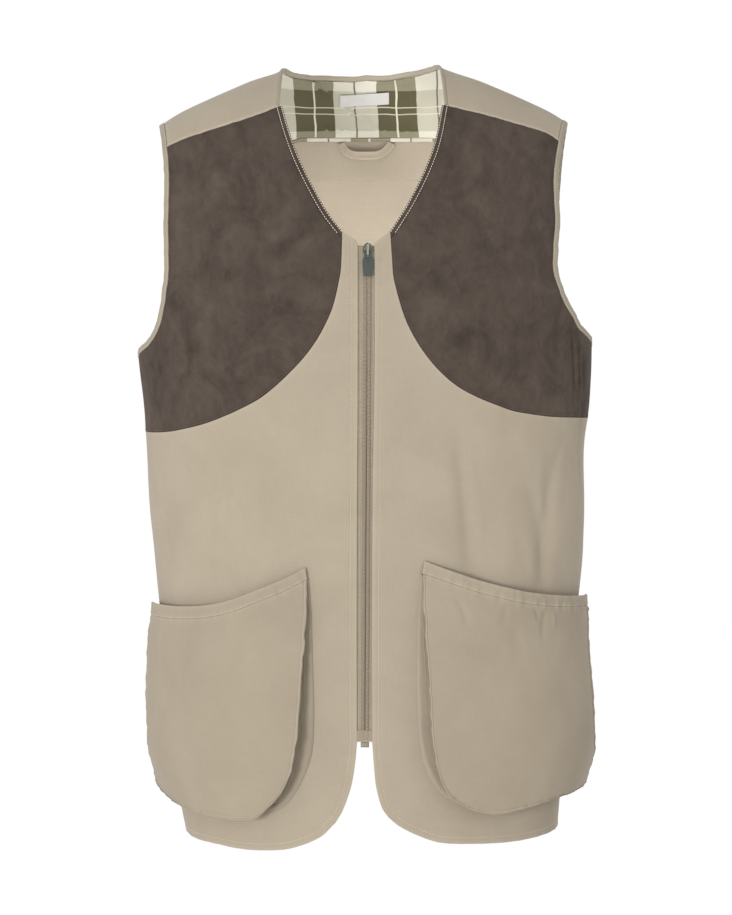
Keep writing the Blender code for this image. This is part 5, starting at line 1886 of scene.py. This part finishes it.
    def loop(self) -> None:
        """Makes the hanging loop, a slack folded tape under the facing's hem."""
        form = self.room.form
        track = SmoothTable([(k, *spot) for k, spot in enumerate(HANG_LOOP)])
        place = np.linspace(0, len(HANG_LOOP) - 1, 90)
        across, down, off = (track.at(place, column) for column in range(3))
        height = FACING_HEM - down
        angle = -math.pi - form.front_angle(across, height)
        points, normals = form.sites(np.stack([angle, height], -1))
        middle = points - normals * (off + COTTON / 2)[:, None]
        along = unit(np.gradient(middle, axis=0))
        out = unit(np.cross(normals, along))
        aside = np.linspace(-LOOP_TAPE_WIDTH / 2, LOOP_TAPE_WIDTH / 2, 16)
        grid = middle[None] + out[None] * aside[:, None, None]
        roll = np.cos(aside / LOOP_TAPE_WIDTH * 2 * math.pi)
        buckle = 0.35 * Noise.at(grid, 5.0, 91) - 0.25 * roll[:, None]
        grid = grid - normals[None] * buckle[..., None]
        flat = np.stack(np.broadcast_arrays(place[None] * 9.0, aside[:, None]), -1)
        cloth = Cloth(grid, np.broadcast_to(-normals, grid.shape), flat, LOOP_TAPE_THICKNESS)
        item = cloth.build("tape_loop", self.room.finishes.cotton)
        rows = [Line(cloth.points[k], cloth.normals[k]).raised(LOOP_TAPE_THICKNESS / 2) for k in (2, 13)]
        self.room.sheet(item, "cotton", "hang_loop", self.loop_cut, "plaid_facing", "loop_stitches", rows,
            Stitching(2.4, 1.7, 0.18))


@dataclass
class Bindings:
    """The folded tapes that bind the armholes and the neck."""
    room: Workroom
    arm_cut: Cut = Cut(0.010, 0.655, 0.00505)
    neck_cut: Cut = Cut(0.010, 0.374, 0.00250)
    setback: float = 1.0
    front_end: float = 0.2

    def tape(self, name: str, line: Line, centre: Sequence[float], width: float, closed: bool, cut: Cut,
            node: str, lean: float = 0.0, slimmer: float = 0.0) -> None:
        """Makes one bound edge with its stitches.

        Args:
            name: The piece's name.
            line: The edge that is bound.
            centre: A point in the opening.
            width: The tape's folded width.
            closed: Whether the edge runs right round.
            cut: Not used.
            node: The solid that it stands for.
            lean: How much it leans up.
            slimmer: How much narrower it is at its two ends.
        """
        after = np.roll(line.points, -1, axis=0) - np.roll(line.points, 1, axis=0)
        if not closed:
            after = np.gradient(line.points, axis=0)
        outward = unit(np.cross(line.normals, after))
        facing = np.sign(np.sum(outward * (np.array(centre) - line.points), axis=-1, keepdims=True))
        outward = outward * facing
        ripple = Noise.at(line.points, 6.5, 77)
        widths = width * (1 + 0.035 * ripple + 0.03 * Noise.at(line.points, 19.0, 78))
        place = np.linspace(0, 1, len(widths))
        widths = widths * (1 - slimmer * smooth_step((self.front_end - np.minimum(place, 1 - place)) / 0.06))
        spine = line.raised(0.22 * ripple)
        item = Tube(spine, outward, widths, BINDING_THICKNESS, closed, lean).build(name,
            self.room.finishes.binding)
        points = spine.points + outward * 1.1 + line.normals * (BINDING_THICKNESS / 2 - 0.1)
        if closed:
            points = np.concatenate([points, points[:1]])
        normals = np.concatenate([line.normals, line.normals[:1]]) if closed else line.normals
        self.room.sheet(item, "binding", node, cut, "cotton_yoke", name + "_stitches",
            [Line(points, normals)], Stitching(2.8, 2.0, 0.2), held="folded")

    def build(self) -> None:
        """Makes all three."""
        lines, room = self.room.lines, self.room
        outer, cells = lines.yoke_outer(), SHOULDER_CELLS * 2 + BACK_CELLS
        for side in Side:
            shoulder = np.linspace(0, SHOULDER_CELLS / cells, 90)
            shoulder = shoulder[::-1] if side is Side.LEFT else 1 - shoulder[::-1]
            runs = [room.laid(lines.armhole_front(side)(np.linspace(0, 1, 150)[:-1])),
                room.laid(lines.armhole_back(side)(np.linspace(0, 1, 120)[:-1])),
                room.laid(outer(shoulder)[:-1], yoke=True)]
            line = Line(*(np.concatenate(parts) for parts in zip(*runs)))
            self.tape("armhole_tape_" + side.word, line, (side.value * 232, 0, -180), BINDING_WIDTH, True,
                self.arm_cut, "armhole_binding_" + side.word)
        line = room.laid(lines.yoke_inner()(np.linspace(0, 1, 260)), yoke=True)
        for end, beside in ((0, 1), (-1, -2)):
            line.points[end] += unit(line.points[beside] - line.points[end]) * self.setback
        self.tape("neck_tape", line, (-5, 10, 30), NECK_BINDING_WIDTH, False, self.neck_cut, "neck_binding",
            0.25, 0.45)


POCKET_CREASES = {
    "left": rows(Crease,
        -148, -556, -152, -600, 1, 3.2, -0.8, -128, -552, -124, -640, 2, 6, -0.7,
        -178, -558, -186, -620, 2, 5, -0.6, -100, -560, -112, -690, 4, 10, -0.8,
        -196, -600, -176, -700, -6, 9, -0.9, -130, -690, -108, -748, -4, 7, -0.6),
    "right": rows(Crease,
        72, -528, 84, -556, 2, 2.6, -1.1, 88, -532, 102, -572, 2, 3.4, -0.9,
        140, -544, 134, -574, 1, 3.6, -0.6, 168, -545, 174, -566, 1, 2.6, -1.2,
        184, -547, 176, -596, -3, 3.6, -1.2, 190, -549, 188, -572, 1, 2.4, 0.8,
        150, -560, 162, -640, -5, 9, -1, 176, -600, 206, -660, 5, 8, -0.9,
        104, -590, 122, -700, 6, 10, -1, 214, -610, 222, -650, 1, 5, -0.9,
        66, -610, 70, -690, 1, 3.6, -0.9, 92, -700, 128, -744, 4, 8, -0.8),
}


@dataclass
class Pockets:
    """The bellows pockets: a face with a pinched edge, a mouth band and a folded gusset."""
    room: Workroom
    columns: int = 12
    rows: int = 9
    pinch: float = 2.6
    pinch_rise: float = 1.15
    crease_gain: float = 1.7
    crease_narrowing: float = 0.85
    band_thickness: float = 2.0
    tuck: float = 15.0
    base_lift: float = 1.25
    stitch: Stitching = Stitching(2.7, 1.9, 0.2)
    flange_tuck: float = 12.0
    frill: float = 1.3
    face_cut: Cut = Cut(0.21, 0.242, 0.0440)
    band_cut: Cut = Cut(0.19, 0.018, 0.00305)
    gusset_cut: Cut = Cut(0.55, 0.048, 0.0220)

    def sides(self, side: Side) -> dict[str, Curve]:
        """Gives a pocket's outlines.

        Args:
            side: Which pocket.

        Returns:
            The mouth, stitch line, inner edge, bottom and outer edge.
        """
        form = self.room.form

        def path(rows: Sequence[PocketRow]) -> Path:
            """An outline as angle, height and stand-off."""
            return Path([(float(form.front_angle(r.across, r.height, r.off)), r.height, r.off) for r in rows])

        word = side.word
        mouth, inner, outer = path(POCKET_MOUTH[word]), path(POCKET_INNER[word]), path(POCKET_SIDE[word])
        bottom = path(POCKET_BOTTOM[word])
        ends = np.array([0.0, 1.0])
        drops = np.array([inner(ends)[0, 1] - mouth(ends)[0, 1], outer(ends)[0, 1] - mouth(ends)[1, 1]])
        first, last = inner(ends)[0], outer(ends)[0]

        def stitch(share: Array) -> Array:
            """The band's lower edge, which meets both side edges."""
            drop = drops[0] + (drops[1] - drops[0]) * share
            values = mouth(share) + np.stack([0 * share, drop, 0 * share + 0.8], -1)
            near = np.exp(-share / 0.03) * (share < 0.3)
            far = np.exp(-(1 - share) / 0.03) * (share > 0.7)
            return values + near[:, None] * (first - values[:1]) + far[:, None] * (last - values[-1:])
        return {"mouth": mouth, "stitch": stitch, "inner": inner, "bottom": bottom, "outer": outer}

    def laid(self, values: Array, rucks: list[Ruck]) -> Line:
        """Places of the pocket's cloth with its own creases."""
        line = Line(*self.room.form.sites(values))
        return line.raised(Drape(rucks, 0.5, 0.2, 48.0, 15.0, 11).at(line.points))

    def build(self, side: Side) -> None:
        """Makes a pocket.

        Args:
            side: Which pocket.
        """
        form, word = self.room.form, side.word
        edges = self.sides(side)
        rucks = [Ruck(form.crease_line(crease, True, 14.0), crease.width * self.crease_narrowing,
            crease.rise * self.crease_gain) for crease in POCKET_CREASES[word]]
        spread = np.linspace(0, 1, 31)
        puckers = (("stitch", 5.5, 0.72, 9.5), ("mouth", 4.0, 0.42, 7.5), ("bottom", 5.0, 0.5, 10.0),
            ("inner", 4.5, 0.35, 13.0), ("outer", 4.5, 0.35, 14.0))
        for k, (name, width, rise, pitch) in enumerate(puckers):
            rucks.append(Ruck(form.sites(edges[name](spread))[0], width, rise, pitch, k + 5 + side.value))
        u, v = shares(self.columns, 8, 165.0, PINCHED_EDGE), shares(self.rows, 12, 210.0, PINCHED_EDGE)
        values = coons(edges["stitch"], edges["bottom"], edges["inner"], edges["outer"], u, v)
        cloth = Cloth(*self.laid(values, rucks), self.room.flat_of(values), COTTON, round_top=False)
        gap = cloth.edge_gap()
        lift = self.pinch_rise * np.exp(-((gap - 1.2) / 1.0) ** 2) - 0.6 * np.exp(-((gap - 2.9) / 0.8) ** 2)
        frill = self.frill * Noise.at(cloth.points, 8.0, 61) * np.exp(-gap / 5.0)
        along = unit(np.gradient(cloth.points, axis=1))
        cloth.points = cloth.points + cloth.normals * lift[..., None] + along * frill[..., None]
        cloth.round_top = True
        # The pockets' cotton is a darker copy of the fronts' cotton: painted shade.
        face = cloth.build("cotton_pocket_" + word, self.room.finishes.pocket)
        beside = [self.near(gap[len(v) // 2], self.pinch, left) for left in (True, False)]
        rim = [Line(cloth.points[:, k], cloth.normals[:, k]) for k in beside]
        low = self.near(gap[:, len(u) // 2], self.pinch, False)
        rim.append(Line(cloth.points[low], cloth.normals[low]))
        rows = [line.raised(COTTON / 2 + 0.08) for line in rim]
        self.room.sheet(face, "cotton", "pocket_face_" + word, self.face_cut, "cotton_front_" + word,
            "pocket_stitches_" + word, rows, self.stitch)
        self.band(side, edges, rucks)
        self.gusset(side, edges)

    @staticmethod
    def near(gaps: Array, wanted: float, first: bool) -> int:
        """The grid line that lies about so far from an end."""
        half = len(gaps) // 2
        part = gaps[:half] if first else gaps[half:]
        return int(np.argmin(np.abs(part - wanted))) + (0 if first else half)

    def band(self, side: Side, edges: dict[str, Curve], rucks: list[Ruck]) -> None:
        """Makes the turned-down band along the mouth.

        Args:
            side: Which pocket.
            edges: The pocket's outlines.
            rucks: The pocket's creases.
        """
        u, v = shares(self.columns, 14, 165.0), shares(4, 3, 12.0, (0.2, 0.5, 0.9, 1.5))
        top, low = edges["mouth"](u)[None], edges["stitch"](u)[None]
        values = top + (low - top) * v[:, None, None]
        laid = self.laid(values, rucks)
        ripple = np.abs(Noise.at(laid.points * np.array([1.0, 1.0, 0.25]), 4.6, 31))
        pucker = 0.3 * ripple * np.sin(math.pi * v)[:, None]
        cloth = Cloth(*laid.raised(pucker), self.room.flat_of(values), self.band_thickness, dip=0.5)
        item = cloth.build("pocket_hem_" + side.word, self.room.finishes.pocket)
        line = Line(cloth.points[-4], cloth.normals[-4]).raised(self.band_thickness / 2 - 0.05)
        self.room.sheet(item, "cotton", "pocket_band_" + side.word, self.band_cut, "cotton_pocket_"
            + side.word, "hem_stitches_" + side.word, [line], self.stitch)

    def gusset(self, side: Side, edges: dict[str, Curve]) -> None:
        """Makes the folded gusset between the face and the front.

        Args:
            side: Which pocket.
            edges: The pocket's outlines.
        """
        form, drape = self.room.form, self.room.form.drape
        rim = Chain((edges["inner"], 9), (edges["bottom"], 12), (lambda share: edges["outer"](1 - share),
            9))
        base = Path(form.front_spots(POCKET_BASE[side.word]))
        u = np.linspace(0, 1, 240)
        values = rim(u)
        edge, normal = form.sites(values)
        foot, foot_normal = form.sites(base(u))
        foot = foot + foot_normal * (drape.at(foot) + self.base_lift)[:, None]
        centre = form.point(np.array(values[:, 0].mean()), np.array(-650.0), 10.0)
        inward = centre - edge
        inward = unit(inward - normal * np.sum(inward * normal, axis=-1, keepdims=True))
        ripple = 1 + 0.35 * Noise.at(edge, 17.0, 55)
        top = edge - normal * 1.75 + inward * 1.2
        depth = np.minimum(1.0, values[:, 2] / 18.0) * ripple
        under, under_normal = form.sites(values * np.array([1.0, 1.0, 0.0]))
        under = under + under_normal * (drape.at(under) + self.base_lift)[:, None]
        toe = under + inward * (self.flange_tuck * depth)[:, None]
        fold = toe * 0.5 + top * 0.5 + inward * (self.tuck * depth)[:, None]
        panel = np.linspace(0, 1, 12)[1:]
        shares_up = np.concatenate([np.linspace(0, 1, 5), 1 + panel, 2 + panel])
        stations = np.stack([foot, toe, fold, top])
        k = np.minimum(shares_up.astype(int), 2)
        grid = stations[k] + (stations[k + 1] - stations[k]) * (shares_up - k)[:, None, None]
        for _ in range(2):
            grid[1:-1] = (grid[:-2] + grid[1:-1] * 2 + grid[2:]) / 4
        sag = 0.7 * Noise.at(grid[2:-2] * np.array([0.5, 0.5, 1.0]), 9.0, 12)
        grid[2:-2] += foot_normal * sag[..., None]
        along, up = np.gradient(grid, axis=1), np.gradient(grid, axis=0)
        normals = unit(np.cross(along, up))
        lengths = np.cumsum(np.linalg.norm(np.diff(grid, axis=0, prepend=grid[:1]), axis=-1), axis=0)
        travel = np.cumsum(np.linalg.norm(np.diff(foot, axis=0, prepend=foot[:1]), axis=-1))
        flat = np.stack(np.broadcast_arrays(travel[None], lengths), -1)
        cloth = Cloth(grid, normals, flat, COTTON)
        item = cloth.build("pocket_bellows_" + side.word, self.room.finishes.pocket)
        face_out(item)
        line = Line(grid[2], foot_normal).raised(COTTON / 2 + 0.3)
        self.room.sheet(item, "cotton", "pocket_gusset_" + side.word, self.gusset_cut, "cotton_front_"
            + side.word, "bellows_stitches_" + side.word, [line], self.stitch, held="folded")


@dataclass
class Zipper:
    """The zip: two tapes, two rows of coils, the stop box, the slider and its pull tab."""
    room: Workroom
    top: float = -186.0
    chain_top: float = -198.5
    chain_foot: float = -680.6
    foot: float = -684.0
    slant: tuple[float, float] = (1.8, -1.1)
    sink: float = -1.45
    reach: float = 15.5
    pitch: float = 1.35
    coil: tuple[float, float] = (0.24, 4.0)
    seams: tuple[float, ...] = (-6.4, -4.7, 4.7, 6.4)
    crown_depth: float = 5.0
    crown_slope: float = 0.165
    cut: Cut = Cut(0.0165, 0.5, 0.0078)

    def centre(self, height: Array) -> Array:
        """The zip's centre line, which runs slightly aslant."""
        share = (self.top - height) / (self.top - self.foot)
        return self.slant[0] + (self.slant[1] - self.slant[0]) * share

    def strip(self, offsets: Array, heights: Array, off: float) -> tuple[Array, Array, Array]:
        """Gives places on a strip down the centre front.

        Args:
            offsets: Distances from the centre line.
            heights: Levels.
            off: How far off the form.

        Returns:
            The points, normals and flat places.
        """
        form = self.room.form
        across = self.centre(heights)[:, None] + offsets[None]
        levels = np.broadcast_to(heights[:, None], across.shape)
        points, normals = form.sites(np.stack([form.front_angle(across, levels), levels], -1))
        lift = off + form.drape.broad * Noise.at(points, form.drape.broad_size, form.drape.seed)
        return points + normals * lift[..., None], normals, np.stack([across, levels], -1)

    def build(self) -> None:
        """Makes the whole zip."""
        heights = np.linspace(self.top, self.foot, 240)
        for side in Side:
            offsets = np.linspace(0.12, self.reach, 22) * side.value
            cloth = Cloth(*self.strip(offsets, heights, self.sink), TAPE)
            item = cloth.build("zip_ribbon_" + side.word, self.room.finishes.tape)
            self.room.sheet(item, "zip_tape", "zip_tape_" + side.word, self.cut, "cotton_front_" + side.word)
        self.coils()
        self.stop_box()
        self.hardware()
        self.crown()

    def coils(self) -> None:
        """Makes the two rows of coils as one mesh."""
        knit = Knit()
        heights = np.arange(self.chain_top, self.chain_foot, -self.pitch)
        for side in Side:
            levels = heights - (self.pitch / 2 if side is Side.RIGHT else 0.0)
            inner, outer = (value * side.value for value in self.coil)
            stations = np.array([0.0, 0.12, 0.5, 0.86, 1.0])
            rise = np.array([-0.1, 0.35, 0.55, 0.4, -0.1])[None, :, None]
            thick = np.array([0.4, 1.1, 1.15, 1.0, 0.45])[None, :, None]
            points, normals, _ = self.strip(inner + (outer - inner) * stations, levels, self.sink + 1.05)
            turns = np.arange(6) * math.pi / 3
            up = (np.cos(turns) * thick * 0.5)[..., None] * np.array([0.0, 0.0, 1.0])
            out = normals[:, :, None] * (np.sin(turns) * thick * 0.45 + rise)[..., None]
            knit.add_rods(points[:, :, None] + up + out)
        item = knit.make("zip_coils", self.room.finishes.teeth)
        face_out(item)
        self.room.dress(item, "zip_tape", "zip_chain")
        rows = []
        levels = np.linspace(self.top - 3, self.foot + 2, 200)
        for offset in self.seams:
            points, normals, _ = self.strip(np.array([offset]), levels, self.sink + TAPE / 2)
            rows.append(Line(points[:, 0], normals[:, 0]))
        self.room.sew("zip_seams", rows, "zip_tape", Stitching(1.8, 1.0, 0.3))

    def stop_box(self) -> None:
        """Makes the box at the foot and the reinforced ends of the tapes."""
        place = self.strip(np.linspace(-4.2, 4.2, 18), np.linspace(-684.2, -689.6, 14), self.sink)
        self.room.dress(Cloth(*place, 3.2, 0.5).build("zip_stop_box", self.room.finishes.teeth), "zip_tape",
            "zip_box")
        place = self.strip(np.linspace(-8.6, 8.6, 30), np.linspace(-672.4, -683.8, 22), self.sink + 1.4)
        self.room.dress(Cloth(*place, 0.5).build("zip_end_patch", self.room.finishes.tape), "zip_tape")

    def crown(self) -> None:
        """Makes the raised pointed rim on the slider's head, above where the tab hangs."""
        low, high = (np.array(corner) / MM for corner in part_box("zip_slider"))
        half = rows(Spot, 4.3, -9.6, 4.4, -7.4, 4.2, -5.2, 3.3, -3.0, 1.9, -1.2, 0.7, -0.2)
        rim = [*((-x, z) for x, z in half), (0.0, 0.1), *half[::-1]]
        outline = Path(rim, 1.0)(np.linspace(0, 1, 60))
        middle = np.array([(low[0] + high[0]) / 2, low[1] + self.crown_depth, high[2]])
        ring = middle + np.stack([outline[:, 0], outline[:, 1] * self.crown_slope, outline[:, 1]], -1)
        out = np.array([0.0, -1.0, 0.0])
        side = unit(np.cross(out, unit(np.gradient(ring, axis=0))))
        turns = np.arange(12)[None, :, None] * math.pi / 6
        knit = Knit()
        knit.add_rods((ring[:, None] + (side[:, None] * np.cos(turns) + out * np.sin(turns)) * 0.6)[None])
        # The thin ring takes the slider metal's pale edge colour, partly a painted highlight.
        item = knit.make("slider_crown", self.room.finishes.metal)
        face_out(item)
        self.room.dress(item, "slider_metal")

    def hardware(self) -> None:
        """Finishes the slider and the pull tab, whose solids have their own shape."""
        for name, material in (("zip_slider", self.room.finishes.metal),
                ("zip_pull_tab", self.room.finishes.pull)):
            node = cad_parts[name]
            for slot in node.material_slots:
                slot.material = material
            step = node.modifiers.new("Rounded edges", "BEVEL")
            step.width, step.segments, step.limit_method = 0.00028, 3, "ANGLE"


@dataclass
class Studio:
    """The plain room: a pale floor, soft lights and the camera."""
    floor_height: float = -1.12
    floor_half: float = 1.6
    camera_at: tuple[float, float, float] = (0.0, -4.125, -0.399)
    lens: float = 157.38

    def build(self) -> None:
        """Makes the floor, the light and the camera."""
        scene = bpy.context.scene
        scene.view_settings.view_transform = "Standard"
        world = bpy.data.worlds.new("studio")
        scene.world = world
        world.use_nodes = True
        sky = world.node_tree.nodes["Background"].inputs
        sky["Color"].default_value, sky["Strength"].default_value = (1.0, 1.0, 1.0, 1.0), 1.0
        corners = [(x * self.floor_half, y * self.floor_half, self.floor_height)
            for x, y in ((-1, -1), (1, -1), (1, 1), (-1, 1))]
        mesh = bpy.data.meshes.new("floor")
        mesh.from_pydata(corners, [], [(0, 1, 2, 3)])
        mesh.materials.append(PlainFinish("pale_floor", (238, 238, 236)).make())
        floor = bpy.data.objects.new("floor", mesh)
        scene.collection.objects.link(floor)
        self.light("key", (-1.6, -3.3, -0.75), (0.0, 0.0, -0.4), 1.0, 86.0)
        self.light("fill", (1.6, -3.4, 0.3), (0.0, 0.0, -0.3), 2.0, 8.0)
        self.light("inside", (0.0, -0.04, -0.205), (0.0, 0.12, -0.13), 0.2, 0.58)
        eye = bpy.data.cameras.new("camera")
        eye.lens, eye.sensor_width, eye.clip_end = self.lens, 36.0, 50.0
        camera = bpy.data.objects.new("camera", eye)
        camera.location, camera.rotation_euler = self.camera_at, (QUARTER, 0.0, 0.0)
        scene.collection.objects.link(camera)
        scene.camera = camera

    @staticmethod
    def light(name: str, place: Sequence[float], target: Sequence[float], size: float, power: float) -> None:
        """Places a soft light.

        Args:
            name: Its name.
            place: Where it stands.
            target: Where it points.
            size: Its width, in metres.
            power: Its power, in watts.
        """
        lamp = bpy.data.lights.new(name, "AREA")
        lamp.shape, lamp.size, lamp.energy = "DISK", size, power
        item = bpy.data.objects.new(name, lamp)
        item.location = place
        item.rotation_euler = (Vector(target) - Vector(place)).to_track_quat("-Z", "Y").to_euler()
        item.visible_camera = False
        bpy.context.scene.collection.objects.link(item)


def main() -> None:
    """Builds the dressed vest piece by piece."""
    logging.basicConfig(level=logging.INFO, format="%(name)s %(message)s")
    room = Workroom()
    fronts, suedes, pockets = Fronts(room), Suedes(room), Pockets(room)
    for side in Side:
        fronts.build(side)
        suedes.build(side)
        pockets.build(side)
    BackPanel(room).build()
    YokeAndFacing(room).build()
    Bindings(room).build()
    Zipper(room).build()
    Studio().build()
    LOG.info("The vest is dressed")


if __name__ == "__main__":
    main()
